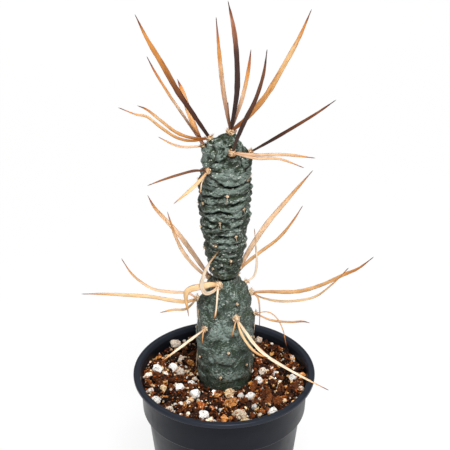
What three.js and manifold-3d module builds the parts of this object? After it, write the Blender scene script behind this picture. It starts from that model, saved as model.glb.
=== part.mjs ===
// A paper spine cactus (two stem segments with flat papery spines) in a round nursery pot.
// Millimetres, +Z up. The origin is the centre of the pot's underside, and the front of the plant faces -Y.

import * as THREE from "three";
import { mergeVertices } from "three/addons/utils/BufferGeometryUtils.js";
import Module from "manifold-3d";

const wasm = await Module();
wasm.setup();

// Pot, from the underside up
const LIP_RADIUS = 52;
const POT_HEIGHT = 89.8;
const POT_WALL = 1.2;
const FLOOR_THICKNESS = 1.8;
const FOOT_RADIUS = 37;
const LEDGE_RADIUS = 44.4;
const LEDGE_HEIGHT = 65.5;
const COLLAR_FOOT_RADIUS = 46.9;
const COLLAR_FOOT_HEIGHT = 67.5;
const COLLAR_TOP_RADIUS = 47.9;
const LIP_WIDTH = 3.5;
const LIP_DROP = 2.6;
const COLLAR_SLOPE_DROP = 4.5;
const DRAIN_HOLES = 5;
const DRAIN_HOLE_RADIUS = 4.5;
const DRAIN_CIRCLE_RADIUS = 25;
const POT_SIDES = 44;

// Soil
const SOIL_LEVEL = 84;
const SOIL_GAP = 0.35;
const SOIL_SIDES = 36;
const STEM_HOLE_GAP = 0.5;
const STEM_HOLE_SIDES = 24;
const SCATTERED_GRAINS = 115;
const GOLDEN_ANGLE = 2.39996;
const GRAIN_SEED = 2207;

// Large grains that show in the photo: right, back (mm from the pot's axis), radius
const LARGE_GRAINS = [
  [-40, 3, 3.2], [-31, 5, 2.8], [-27, -8, 3.3], [-18, -14, 3.6], [-38, -16, 2.8], [-13, -27, 3.2],
  [15, -15, 3], [28, -26, 3.2], [19, -4, 3.4], [22, 3, 2.8], [41, -2, 3], [10, -16, 2.6], [18, -22, 2.6],
  [-27, 1, 3], [-42, -9, 2.6], [-32, -25, 3], [0, -34, 3], [8, -27, 3.6], [20, 26, 3.2], [-30, 20, 3.2],
  [-26, 9, 2.8], [4, -19, 3.6], [13, -35, 2.8], [-9, -35, 2.6], [-14, -21, 2.6], [39, 12, 2.8],
  [21, -31, 2.8], [-36, -2, 2.6], [6, 40, 3.2], [-12, 38, 2.8], [-20, 32, 3], [30, 30, 3],
  [34, -14, 2.8], [12, 33, 2.6], [-2, 28, 3],
];

// Stem segments: profile points as [radius, height], and the axis as [right, back, height]
const LOWER_PROFILE = [
  [0, 73], [6, 73.3], [11, 76], [13.6, 80], [15, 85], [16, 92], [15.8, 101], [16.4, 111], [15.6, 122],
  [13.7, 130], [11.6, 137], [9.3, 143], [7.4, 147.4], [5.8, 150.3], [0, 150.5],
];
const UPPER_PROFILE = [
  [0, 151], [5.4, 151.1], [7.8, 153.6], [9, 158], [10.2, 165], [11.4, 175], [13, 187], [13.7, 198],
  [13.5, 208], [12.6, 217], [9.7, 225], [6.3, 231], [3.5, 235.6], [0, 238],
];
const STEM_AXIS = [
  [0.4, 2.5, 73], [0.4, 2.5, 120], [0.4, 3.6, 151], [0.3, 3.6, 200], [1.1, 3.6, 225], [3.7, 3.6, 239],
];

// Relief of the skin
const FOLD_PITCH = 4.6;
const FOLD_DEPTH = 0.45;
const FURROW_DEPTH = 0.9;
const FURROW_WIDTH = 2.2;
const TUBERCLE_REACH = 5.5;
const SMALL_TUBERCLE_REACH = 4.5;
const SMALL_TUBERCLE_SWELL = 0.5;
const TUBERCLE_DROP = 1.5;
const SMOOTH_END = 6;
const LOWER_ROWS = 28;
const LOWER_SIDES = 26;
const UPPER_ROWS = 50;
const UPPER_SIDES = 24;

// Small areoles as [height, degrees round from the front, to the right]
const LOWER_SMALL_AREOLES = [
  [111, 7], [103, -58], [99, 49], [94, -8], [138, 35], [88, -76], [116, 62], [108, 105], [96, 100],
  [104, 150], [92, 145], [108, -150], [96, -165], [100, -112], [114, -108], [90, 185],
];
const UPPER_SMALL_AREOLES = [
  [207, 5], [200, -53], [196, -90], [197, 47], [188, 88], [204, 92], [191, -10], [184, -72], [181, 29],
  [176, -23], [169, -84], [173, 76], [166, 18], [159, -43], [157, 74], [210, -92], [213, 60], [200, 130],
  [190, 150], [180, 120], [170, 140], [162, 170], [188, 190], [176, -170], [192, -140], [178, -125],
  [164, -130], [206, -140],
];
const SMALL_AREOLE_RADIUS = 1.2;
const CUSHION_SHARE = 0.75;
const CUSHION_SIDES = 8;
const CUSHION_LIFT = 0.4;
const NUB_LIFT = 0.2;

// Tufts of spines. Each areole has its height, its degrees round from the front and how far its tubercle
// stands out. Each spine has its width, the turn of its flat from the front and the points that it passes
// through, right, back and up from the areole.
const LOWER_TUFTS = {
  spines_low_front: {
    height: 148.3, round: -25, swell: 1.3, size: 2.6,
    spines: [
      {
        width: 2.6, turn: -35,
        path: [
          [-3, -3.5, -1.5], [-7, -4, -2.5], [-9, -4.5, 1.5],
          [-9, -5, 6], [-6, -6, 15.8], [0.5, -8, 27],
        ],
      },
      {
        width: 3.6, turn: 5,
        path: [[-4, -2.5, 2], [-10, -4, 1.5], [-15.5, -5, 0.5], [-18, -6, -3], [-16.5, -8, -15]],
      },
      { width: 1.1, turn: 0, path: [[-0.5, -5, 0], [-1, -9, -6], [-2, -12, -12.5], [-3.5, -12.5, -13]] },
    ],
  },
  spines_low_left: {
    height: 134, round: -97, swell: 2.9, size: 2.2,
    spines: [
      {
        width: 2.1, turn: 0,
        path: [
          [-6, -2, -1], [-15, -3.5, 1], [-26, -5.5, 4.5],
          [-38, -8, 7], [-51, -10, 9], [-63, -12.5, 10.5],
        ],
      },
      {
        width: 1.6, turn: 0,
        path: [
          [-6, 2.5, 2], [-16, 4.5, 1.5], [-25, 6, 2.5],
          [-33, 8, 7], [-38, 9.5, 12], [-42.5, 11.5, 19],
        ],
      },
      { width: 1.4, turn: -15, path: [[-6, -7, -2.5], [-13, -12, 0], [-20, -16.5, 1]] },
    ],
  },
  spines_low_back_left: {
    height: 146.4, round: -117, swell: 2.1, size: 2,
    spines: [
      {
        width: 2.6, turn: 10,
        path: [[-4, 4, 4], [-10, 9, 11], [-17, 14, 19], [-24, 19, 25], [-31, 24, 31], [-35, 27.5, 37]],
      },
      {
        width: 2, turn: -20,
        path: [
          [-4, 1.5, 1.5], [-9.5, 4, 6], [-15, 7, 12.5],
          [-19, 10.5, 20], [-21.5, 13, 27], [-23.5, 15.5, 33],
        ],
      },
    ],
  },
  spines_low_right: {
    height: 136.8, round: 102, swell: 2.7, size: 2.2,
    spines: [
      {
        width: 2.1, turn: 0,
        path: [
          [8.5, -1, 1], [25, -5, 3.5], [38, -8, 9.5],
          [50, -11, 18], [57.5, -13.5, 23.5], [65, -16, 32],
        ],
      },
      {
        width: 1.4, turn: 20,
        path: [
          [6, -5, -0.5], [15, -8.5, -0.5], [25, -12, 2],
          [35, -15.5, 7], [44, -19.5, 18], [51, -24, 30],
        ],
      },
      { width: 0.9, turn: 0, path: [[3.5, -4.5, -1], [4.5, -6.5, -8], [4.5, -7.5, -18]] },
    ],
  },
  spines_low_right_upright: {
    height: 142, round: 115, swell: 2, size: 1.4,
    spines: [
      { width: 1.3, turn: 0, path: [[4.5, 1.5, 3], [6, 2, 10], [5.5, 2.5, 20], [4.5, 3.5, 32]] },
    ],
  },
  spines_low_back_right: {
    height: 146, round: 140, swell: 1.9, size: 2,
    spines: [
      { width: 2.8, turn: 0, path: [[6, 7, 9], [16.5, 14, 23.5], [29.5, 21.5, 37], [43, 29, 50.5]] },
      {
        width: 1.9, turn: 15,
        path: [[5, 3, 5], [13.5, 6, 11], [23.5, 9, 18], [31, 12, 26.5], [37, 15, 35.5]],
      },
    ],
  },
  spines_low_side_right: {
    height: 125.5, round: 92, swell: 1.8, size: 1.5,
    spines: [
      { width: 1.2, turn: 0, path: [[9, -4, -2], [19, -7.5, -1], [26, -10, 1], [30, -11.5, 1]] },
      { width: 0.7, turn: 0, path: [[7, -1, 1.5], [12, -4, -0.5], [15.5, -8, -6], [17.5, -12.5, -14]] },
    ],
  },
  spines_low_front_right: {
    height: 131.2, round: 24, swell: 1.8, size: 2.2,
    spines: [
      {
        width: 1.9, turn: 0,
        path: [
          [4.5, -3.5, -5.5], [10, -6.5, -12.5], [16.5, -9.5, -18],
          [25, -12.5, -22.5], [37.5, -17.5, -27.5], [50.5, -22.5, -32],
        ],
      },
      {
        width: 1.7, turn: 20,
        path: [[3, -6, -6.5], [7.5, -10, -12], [12, -12.5, -15], [17.5, -15.5, -15.5]],
      },
      { width: 0.8, turn: 0, path: [[-1, -4, -2.5], [-2.5, -5.5, -9]] },
    ],
  },
  spines_low_front_left: {
    height: 124, round: -40, swell: 1.6, size: 1.8,
    spines: [
      { width: 1.5, turn: 0, path: [[-8.5, -7, -3], [-16, -13.5, -5.5], [-23.5, -20, -8]] },
      { width: 0.8, turn: 0, path: [[-1, -3.5, -1], [-1.5, -5.5, -6.5]] },
    ],
  },
  spines_low_back: {
    height: 137, round: 176, swell: 1.8, size: 2.2,
    spines: [
      { width: 2.4, turn: 70, path: [[1.5, 14, 4], [2.5, 30, 7], [3.5, 46, 5]] },
      { width: 1.8, turn: 50, path: [[-2, 12, -2], [-5, 25, -9], [-7, 36, -19]] },
      { width: 1.2, turn: 80, path: [[3, 10, -6], [6, 18, -14], [8, 24, -24]] },
    ],
  },
  spines_low_back_side: {
    height: 122, round: -158, swell: 1.3, size: 1.9,
    spines: [
      { width: 1.9, turn: 60, path: [[-1, 13, -1], [-3, 27, -5], [-4, 40, -12]] },
      { width: 1, turn: 60, path: [[1, 6, -4], [2, 11, -11]] },
    ],
  },
};
const UPPER_TUFTS = {
  spines_crown: {
    height: 237.8, round: 0, swell: 0, size: 2.4,
    spines: [
      { width: 2.4, turn: 0, path: [[-3.5, 4, 19], [-5.5, 8, 35.5], [-7.5, 12.5, 58]] },
      { width: 2.9, turn: 10, path: [[3, -2.5, 22], [3, -5, 41], [1.5, -7.5, 58], [-1.5, -9.5, 74]] },
      { width: 2.2, turn: -10, path: [[6, 7, 15.5], [9, 12, 28], [10.5, 16.5, 39]] },
      {
        width: 2.8, turn: 0,
        path: [[8, -1.5, 8], [18, -3, 21.5], [26.5, -4.5, 38], [34, -6, 54], [39.5, -7.5, 69]],
      },
      { width: 0.9, turn: 0, path: [[-1, -4, 10], [-1.5, -8, 20]] },
    ],
  },
  spines_top_left: {
    height: 230.6, round: -106, swell: 3.2, size: 2.4,
    spines: [
      {
        width: 2.9, turn: 0,
        path: [[-10.5, 2, 16], [-17, 3.5, 26], [-24, 5, 39], [-31.5, 6.5, 52.2], [-37.6, 8, 65.2]],
      },
      {
        width: 1.7, turn: -15,
        path: [[-9, -4, 2], [-17, -7, 6.5], [-24.5, -10.5, 14.5], [-31.3, -14, 22.2], [-36.2, -16, 25.5]],
      },
      {
        width: 1.5, turn: -20,
        path: [
          [-9, -6.5, 1.5], [-17, -10, 5], [-25, -13.5, 12.5],
          [-31.3, -17, 19.7], [-37, -19, 22], [-45.3, -22, 27],
        ],
      },
    ],
  },
  spines_top_back_left: {
    height: 225.5, round: -112, swell: 1.8, size: 2,
    spines: [
      { width: 1.5, turn: 0, path: [[-10, 8, 13], [-17.5, 13.5, 22.5], [-25.5, 19, 34], [-30, 23, 41.5]] },
      { width: 2.8, turn: 0, path: [[-6.5, 10, 11], [-10.5, 16.5, 22], [-14, 21, 29.5]] },
      { width: 1.3, turn: 0, path: [[-10, 2, -1.5], [-16.5, 3.5, -0.5], [-24, 5, 3]] },
    ],
  },
  spines_top_front: {
    height: 228.7, round: 14, swell: 2, size: 2.2,
    spines: [
      {
        width: 2.3, turn: 10,
        path: [[3, -4, 11], [7, -8, 23], [11.5, -12, 35], [15, -17, 50], [16.5, -22.5, 65.5]],
      },
      { width: 1.8, turn: 0, path: [[12.5, -4.5, 1], [27.5, -9.5, 3.5], [42, -14.5, 4]] },
      { width: 1.4, turn: 0, path: [[12, -7.5, 0.5], [24, -13.5, 3], [36, -20.5, 1.5]] },
    ],
  },
  spines_top_right: {
    height: 224, round: 97, swell: 2.9, size: 2,
    spines: [
      { width: 1.8, turn: 0, path: [[10.5, -3, 8], [22, -6, 17], [33.5, -8.5, 26], [43, -11, 34.5]] },
      { width: 0.7, turn: 70, path: [[1, -7, 2.5], [-1, -12, 3]] },
    ],
  },
  spines_mid_left: {
    height: 219, round: -45, swell: 1.2, size: 2,
    spines: [
      {
        width: 1.4, turn: 0,
        path: [[-7, -4.5, 2.5], [-15.5, -9.5, 2.5], [-23, -14, 2], [-30.5, -18.5, 1]],
      },
      { width: 1.9, turn: 0, path: [[-5, -6, -3.5], [-10, -10.5, -6.5], [-17.5, -16.5, -10.5]] },
      { width: 0.8, turn: 0, path: [[-3, -4, -4], [-4, -6, -10]] },
    ],
  },
  spines_top_back: {
    height: 221, round: 172, swell: 1.6, size: 2.1,
    spines: [
      { width: 2.2, turn: 70, path: [[2, 12, 1], [3.5, 24, -1], [4.5, 36, -6]] },
      { width: 1.8, turn: 50, path: [[-2, 11, -3], [-4, 21, -9], [-5, 29, -18]] },
    ],
  },
  spines_mid_back: {
    height: 209, round: -165, swell: 1.2, size: 1.8,
    spines: [
      { width: 1.6, turn: 60, path: [[-2, 10, -1], [-3, 20, -5], [-4, 30, -12]] },
      { width: 0.9, turn: 60, path: [[1.5, 5, -3], [2, 8, -9]] },
    ],
  },
};
const SOCKET_GAP = 0.35;
const BLADE_THICKNESS = 0.7;
const BLADE_STEPS = 8;
const BLADE_FOOT_SPREAD = 0.6;
const BLADE_OPENING = 1.4;
const BLADE_TIP_POWER = 5;

const FRONT = new THREE.Vector3(0, -0.88, 0.48);
const UP = new THREE.Vector3(0, 0, 1);

/** The same run of numbers from 0 to 1 every time. */
function seededRandom(seed) {
  let state = seed;
  return () => {
    state = (state * 16807) % 2147483647;
    return state / 2147483647;
  };
}

function solid(geometry) {
  const bare = new THREE.BufferGeometry();
  bare.setAttribute("position", geometry.getAttribute("position").clone());
  if (geometry.index) bare.setIndex(geometry.index.clone());
  const merged = mergeVertices(bare, 1e-4);
  const vertProperties = new Float32Array(merged.getAttribute("position").array);
  const triVerts = new Uint32Array(merged.index.array);
  return new wasm.Manifold(new wasm.Mesh({ numProp: 3, vertProperties, triVerts }));
}

function named(name, shape, material) {
  const { vertProperties, triVerts, numProp } = shape.getMesh();
  const positions = new Float32Array((vertProperties.length / numProp) * 3);
  for (let i = 0; i < positions.length / 3; i += 1) {
    positions.set(vertProperties.subarray(i * numProp, i * numProp + 3), i * 3);
  }
  const geometry = new THREE.BufferGeometry();
  geometry.setAttribute("position", new THREE.BufferAttribute(positions, 3));
  geometry.setIndex(new THREE.BufferAttribute(new Uint32Array(triVerts), 1));
  geometry.computeVertexNormals();
  const mesh = new THREE.Mesh(geometry, material);
  mesh.name = name;
  return mesh;
}

/** A solid turned about +Z from a closed outline of [radius, height] points. */
function turned(outline, sides) {
  const points = outline.map(([radius, height]) => new THREE.Vector2(radius, height));
  const lathe = new THREE.LatheGeometry([...points].reverse(), sides);
  const piece = solid(lathe.rotateX(Math.PI / 2));
  if (piece.volume() > 0) return piece;
  return solid(new THREE.LatheGeometry(points, sides).rotateX(Math.PI / 2));
}

/** The inner radius of the pot's wall at a height. */
function innerRadius(height) {
  if (height < LEDGE_HEIGHT) {
    return THREE.MathUtils.mapLinear(height, 0, LEDGE_HEIGHT, FOOT_RADIUS, LEDGE_RADIUS) - POT_WALL;
  }
  const top = POT_HEIGHT - LIP_DROP;
  const rise = THREE.MathUtils.mapLinear(height, COLLAR_FOOT_HEIGHT, top, 0, 1);
  return THREE.MathUtils.lerp(COLLAR_FOOT_RADIUS, COLLAR_TOP_RADIUS, rise) - POT_WALL;
}

function pot() {
  const lipInner = LIP_RADIUS - LIP_WIDTH;
  const collarTop = POT_HEIGHT - LIP_DROP;
  const outline = [
    [0, 0], [FOOT_RADIUS - 1.6, 0], [FOOT_RADIUS - 0.4, 0.5], [FOOT_RADIUS, 1.6],
    [LEDGE_RADIUS, LEDGE_HEIGHT], [COLLAR_FOOT_RADIUS - 0.5, LEDGE_HEIGHT + 0.5],
    [COLLAR_FOOT_RADIUS, COLLAR_FOOT_HEIGHT], [COLLAR_TOP_RADIUS, collarTop],
    [LIP_RADIUS - 1.2, collarTop], [LIP_RADIUS - 0.2, collarTop + 0.7], [LIP_RADIUS, POT_HEIGHT - 1.2],
    [LIP_RADIUS - 0.4, POT_HEIGHT - 0.4], [LIP_RADIUS - 1.4, POT_HEIGHT], [lipInner + 0.8, POT_HEIGHT - 0.1],
    [lipInner, POT_HEIGHT - 0.9], [COLLAR_TOP_RADIUS - POT_WALL, POT_HEIGHT - COLLAR_SLOPE_DROP],
    [COLLAR_FOOT_RADIUS - POT_WALL, COLLAR_FOOT_HEIGHT + 1],
    [LEDGE_RADIUS - POT_WALL, LEDGE_HEIGHT], [FOOT_RADIUS - POT_WALL, FLOOR_THICKNESS], [0, FLOOR_THICKNESS],
  ];
  let piece = turned(outline, POT_SIDES);
  for (let i = 0; i < DRAIN_HOLES; i += 1) {
    const angle = ((i + 0.5) / DRAIN_HOLES) * 2 * Math.PI;
    const hole = new THREE.CylinderGeometry(DRAIN_HOLE_RADIUS, DRAIN_HOLE_RADIUS, 4 * FLOOR_THICKNESS, 10);
    hole.rotateX(Math.PI / 2);
    hole.translate(DRAIN_CIRCLE_RADIUS * Math.cos(angle), DRAIN_CIRCLE_RADIUS * Math.sin(angle), 0);
    piece = piece.subtract(solid(hole));
  }
  return piece;
}

/** Where the stem's axis is at a height, [right, back]. */
function axisAt(height) {
  let i = 1;
  while (i < STEM_AXIS.length - 1 && height > STEM_AXIS[i][2]) i += 1;
  const [x0, y0, z0] = STEM_AXIS[i - 1];
  const [x1, y1, z1] = STEM_AXIS[i];
  const t = THREE.MathUtils.clamp((height - z0) / (z1 - z0), 0, 1);
  return [x0 + t * (x1 - x0), y0 + t * (y1 - y0)];
}

/** One stem segment's skin: a turned profile with swollen tubercles, furrows between them and cross folds. */
class Skin {
  constructor(profile, tufts, smallAreoles, foldDepth, smoothBelow) {
    this.curve = new THREE.SplineCurve(profile.map(([radius, height]) => new THREE.Vector2(radius, height)));
    this.foldDepth = foldDepth;
    this.areoles = [
      ...Object.values(tufts).map((tuft) => ({ ...tuft, reach: TUBERCLE_REACH })),
      ...smallAreoles.map(([height, round]) => ({
        height, round, swell: SMALL_TUBERCLE_SWELL, reach: SMALL_TUBERCLE_REACH,
      })),
    ].filter((areole) => areole.round !== 0 || areole.swell > 0);
    this.top = profile[profile.length - 1][1];
    this.smoothBelow = smoothBelow;
  }

  /** The height of the skin over the plain profile. */
  relief(radius, height, round) {
    let swell = 0;
    let nearest = Infinity;
    let second = Infinity;
    for (const areole of this.areoles) {
      const turn = Math.abs(((round - areole.round + 540) % 360) - 180);
      const across = THREE.MathUtils.degToRad(turn) * Math.max(radius, 4);
      const along = height - (areole.height - TUBERCLE_DROP);
      const distance = Math.hypot(across, along);
      swell += areole.swell * Math.exp(-((distance / areole.reach) ** 2));
      if (distance < nearest) [nearest, second] = [distance, nearest];
      else if (distance < second) second = distance;
    }
    const furrow = FURROW_DEPTH * Math.exp(-(((second - nearest) / FURROW_WIDTH) ** 2));
    const sway = 0.25 * Math.sin(THREE.MathUtils.degToRad(2 * round) + height / 9);
    const fold = this.foldDepth * Math.cos(2 * Math.PI * (height / FOLD_PITCH + sway));
    const fromEnd = Math.min(this.top - height, height - this.smoothBelow);
    const ends = THREE.MathUtils.clamp(fromEnd / SMOOTH_END, 0, 1);
    return ends * (fold - furrow + swell);
  }

  /** A point of the skin: t runs up the profile from 0 to 1, offset stands it off. */
  point(t, round, offset = 0) {
    const { x: radius, y: height } = this.curve.getPoint(t);
    const ahead = this.curve.getTangent(t);
    const turn = THREE.MathUtils.degToRad(round);
    const bump = radius > 0.01 ? this.relief(radius, height, round) + offset : offset;
    const out = radius + bump * ahead.y;
    const [x, y] = axisAt(height);
    return new THREE.Vector3(x + out * Math.sin(turn), y - out * Math.cos(turn), height - bump * ahead.x);
  }

  /** The t of the profile at a height. */
  at(height) {
    let low = 0;
    let high = 1;
    for (let i = 0; i < 30; i += 1) {
      const middle = (low + high) / 2;
      if (this.curve.getPoint(middle).y < height) low = middle;
      else high = middle;
    }
    return (low + high) / 2;
  }

  normal(t, round) {
    const step = 0.004;
    const up = this.point(t + step, round).sub(this.point(t - step, round));
    const along = this.point(t, round + 1).sub(this.point(t, round - 1));
    return along.cross(up).normalize();
  }

  body(rows, sides, offset = 0) {
    const positions = [];
    const index = [];
    positions.push(...this.point(0, 0).addScaledVector(UP, -offset));
    for (let row = 1; row < rows; row += 1) {
      for (let side = 0; side < sides; side += 1) {
        positions.push(...this.point(row / rows, (side / sides) * 360, offset));
      }
    }
    positions.push(...this.point(1, 0).addScaledVector(UP, offset));
    const last = positions.length / 3 - 1;
    const at = (row, side) => 1 + (row - 1) * sides + (side % sides);
    for (let side = 0; side < sides; side += 1) {
      index.push(0, at(1, side + 1), at(1, side), last, at(rows - 1, side), at(rows - 1, side + 1));
      for (let row = 1; row < rows - 1; row += 1) {
        const [a, b, c, d] = [at(row, side), at(row, side + 1), at(row + 1, side + 1), at(row + 1, side)];
        index.push(a, b, c, a, c, d);
      }
    }
    const geometry = new THREE.BufferGeometry();
    geometry.setAttribute("position", new THREE.Float32BufferAttribute(positions, 3));
    geometry.setIndex(index);
    return solid(geometry);
  }
}

/** A rounded cushion that lies on the skin with its flat side along it. */
function cushion(centre, normal, width, depth, sides) {
  const geometry = new THREE.SphereGeometry(1, sides, Math.max(4, sides / 2)).scale(width, depth, width);
  geometry.applyQuaternion(new THREE.Quaternion().setFromUnitVectors(new THREE.Vector3(0, 1, 0), normal));
  return solid(geometry.translate(centre.x, centre.y, centre.z));
}

/** A flat papery spine: a thin box section carried along a curve, widest at a third and drawn to a point. */
function blade(centre, { width, turn, path }) {
  const points = [new THREE.Vector3(), ...path.map((point) => new THREE.Vector3(...point))];
  const curve = new THREE.CatmullRomCurve3(points, false, "catmullrom", 0.5);
  const positions = [];
  let side = null;
  for (let step = 0; step < BLADE_STEPS; step += 1) {
    const t = step / BLADE_STEPS;
    const along = curve.getTangent(t);
    if (side === null) {
      side = new THREE.Vector3().crossVectors(along, FRONT).normalize();
      side.applyAxisAngle(along, THREE.MathUtils.degToRad(turn));
    }
    side.addScaledVector(along, -side.dot(along)).normalize();
    const face = new THREE.Vector3().crossVectors(along, side);
    const spread = Math.min(1, BLADE_FOOT_SPREAD + BLADE_OPENING * t) * (1 - t ** BLADE_TIP_POWER);
    const half = Math.max(BLADE_THICKNESS, width * spread) / 2;
    const at = curve.getPoint(t).add(centre);
    for (const [u, v] of [[-1, -1], [1, -1], [1, 1], [-1, 1]]) {
      const corner = at.clone().addScaledVector(side, u * half);
      positions.push(...corner.addScaledVector(face, (v * BLADE_THICKNESS) / 2));
    }
  }
  positions.push(...curve.getPoint(1).add(centre));
  const tip = positions.length / 3 - 1;
  const index = [0, 3, 2, 0, 2, 1];
  for (let corner = 0; corner < 4; corner += 1) {
    const next = (corner + 1) % 4;
    for (let step = 0; step < BLADE_STEPS - 1; step += 1) {
      const [a, b] = [4 * step + corner, 4 * step + next];
      index.push(a, b, b + 4, a, b + 4, a + 4);
    }
    index.push(4 * (BLADE_STEPS - 1) + corner, 4 * (BLADE_STEPS - 1) + next, tip);
  }
  const geometry = new THREE.BufferGeometry();
  geometry.setAttribute("position", new THREE.Float32BufferAttribute(positions, 3));
  geometry.setIndex(index);
  return solid(geometry);
}

/** A tuft: the woolly cushion of one areole with its spines fused into it. */
function tuft(skin, { height, round, size, spines }) {
  const t = skin.at(height);
  const normal = skin.normal(t, round);
  const centre = skin.point(t, round, CUSHION_LIFT);
  let piece = cushion(centre, normal, size, CUSHION_SHARE * size, CUSHION_SIDES);
  for (const spine of spines) piece = piece.add(blade(centre, spine));
  const socket = cushion(centre, normal, size + SOCKET_GAP, CUSHION_SHARE * size + SOCKET_GAP, CUSHION_SIDES);
  return { piece, socket };
}

/** A segment with a socket for each tuft and a nub for each small areole. */
function segment(skin, rows, sides, sockets, smallAreoles) {
  let piece = skin.body(rows, sides);
  for (const [height, round] of smallAreoles) {
    const centre = skin.point(skin.at(height), round, NUB_LIFT);
    const nub = new THREE.OctahedronGeometry(SMALL_AREOLE_RADIUS).translate(centre.x, centre.y, centre.z);
    piece = piece.add(solid(nub));
  }
  for (const socket of sockets) piece = piece.subtract(socket);
  return piece;
}

/** An angular grain of the potting mix: a faceted ball, or a coarser chip. */
function grain(random, [x, y, z], radius, chip = false) {
  const geometry = chip ? new THREE.OctahedronGeometry(1.15 * radius) : new THREE.IcosahedronGeometry(radius);
  geometry.scale(0.85 + 0.3 * random(), 0.85 + 0.3 * random(), 0.7 + 0.3 * random());
  geometry.rotateX(6 * random()).rotateZ(6 * random());
  return solid(geometry.translate(x, y, z));
}

function soil() {
  const random = seededRandom(GRAIN_SEED);
  const outline = [
    [0, FLOOR_THICKNESS + SOIL_GAP],
    [innerRadius(FLOOR_THICKNESS) - 1, FLOOR_THICKNESS + SOIL_GAP],
    [innerRadius(LEDGE_HEIGHT - 1) - 1, LEDGE_HEIGHT - 1],
    [innerRadius(SOIL_LEVEL) - 1, COLLAR_FOOT_HEIGHT + 3],
    [innerRadius(SOIL_LEVEL) - 0.8, SOIL_LEVEL],
    [0, SOIL_LEVEL],
  ];
  let piece = turned(outline, SOIL_SIDES);
  const grains = LARGE_GRAINS.map(([x, y, radius]) => {
    return grain(random, [x, y, SOIL_LEVEL + 0.4 * radius], radius);
  });
  const rim = innerRadius(SOIL_LEVEL) - 1;
  for (let i = 0; i < SCATTERED_GRAINS; i += 1) {
    const radius = 1.6 + 1.4 * random();
    const angle = i * GOLDEN_ANGLE;
    const out = (rim - 1.4 * radius) * Math.sqrt((i + 0.5) / SCATTERED_GRAINS);
    const place = [out * Math.cos(angle), out * Math.sin(angle), SOIL_LEVEL + 0.3 * random()];
    grains.push(grain(random, place, radius, true));
  }
  piece = piece.add(wasm.Manifold.union(grains));
  const hole = LOWER_PROFILE.slice(0, 6).map(([radius, height]) => {
    return [radius + STEM_HOLE_GAP, height - STEM_HOLE_GAP];
  });
  hole[0][0] = 0;
  hole.push([0, hole[5][1]]);
  return piece.subtract(turned(hole, STEM_HOLE_SIDES).translate([...axisAt(SOIL_LEVEL), 0]));
}

const materials = {
  pot: new THREE.MeshStandardMaterial({ color: 0x2b2c31, roughness: 0.45, metalness: 0 }),
  soil: new THREE.MeshStandardMaterial({ color: 0x4a2e1e, roughness: 0.95, metalness: 0 }),
  skin: new THREE.MeshStandardMaterial({ color: 0x4f5b4e, roughness: 0.6, metalness: 0 }),
  spine: new THREE.MeshStandardMaterial({ color: 0xc79a68, roughness: 0.7, metalness: 0 }),
};

const lowerSkin = new Skin(LOWER_PROFILE, LOWER_TUFTS, LOWER_SMALL_AREOLES, 0, SOIL_LEVEL);
const upperSkin = new Skin(UPPER_PROFILE, UPPER_TUFTS, UPPER_SMALL_AREOLES, FOLD_DEPTH, UPPER_PROFILE[0][1]);

const plant = new THREE.Group();
plant.name = "paper_spine_cactus";
plant.add(named("pot", pot(), materials.pot));
plant.add(named("soil", soil(), materials.soil));
for (const [name, skin, tufts, smallAreoles, rows, sides] of [
  ["stem_lower", lowerSkin, LOWER_TUFTS, LOWER_SMALL_AREOLES, LOWER_ROWS, LOWER_SIDES],
  ["stem_upper", upperSkin, UPPER_TUFTS, UPPER_SMALL_AREOLES, UPPER_ROWS, UPPER_SIDES],
]) {
  const sockets = [];
  for (const [tuftName, spec] of Object.entries(tufts)) {
    const { piece, socket } = tuft(skin, spec);
    sockets.push(socket);
    plant.add(named(tuftName, piece, materials.spine));
  }
  plant.add(named(name, segment(skin, rows, sides, sockets, smallAreoles), materials.skin));
}

export default plant;
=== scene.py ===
"""A paper spine cactus in a round nursery pot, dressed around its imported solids.

Sizes are in millimetres until a mesh is made. +Z is up, -Y is the front of the plant and the origin is the
centre of the pot's underside. Angles on the stem are degrees round from the front, to the right.
"""

import itertools
import logging
import math
from dataclasses import dataclass, field
from enum import Enum

import bmesh
import bpy
import numpy as np
from mathutils import Euler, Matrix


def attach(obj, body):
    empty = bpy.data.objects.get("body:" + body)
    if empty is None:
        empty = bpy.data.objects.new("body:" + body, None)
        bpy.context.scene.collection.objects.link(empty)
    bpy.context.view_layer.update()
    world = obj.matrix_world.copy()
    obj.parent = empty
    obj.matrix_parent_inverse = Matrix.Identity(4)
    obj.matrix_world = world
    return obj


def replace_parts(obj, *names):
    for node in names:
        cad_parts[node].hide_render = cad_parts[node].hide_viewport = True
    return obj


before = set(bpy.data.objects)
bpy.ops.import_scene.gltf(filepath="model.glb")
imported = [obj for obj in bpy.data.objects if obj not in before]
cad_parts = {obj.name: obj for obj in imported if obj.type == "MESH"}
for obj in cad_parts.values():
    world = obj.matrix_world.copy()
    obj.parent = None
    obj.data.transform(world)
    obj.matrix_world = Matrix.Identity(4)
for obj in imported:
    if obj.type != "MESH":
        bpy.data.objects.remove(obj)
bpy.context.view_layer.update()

MM = 0.001
log = logging.getLogger("paper_spine_cactus")


class Slot(Enum):
    """The record's material slots."""

    POT = "pot_plastic"
    SOIL = "potting_mix"
    SKIN = "cactus_skin"
    PALE = "pale_spine"
    BROWN = "brown_spine"


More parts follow.
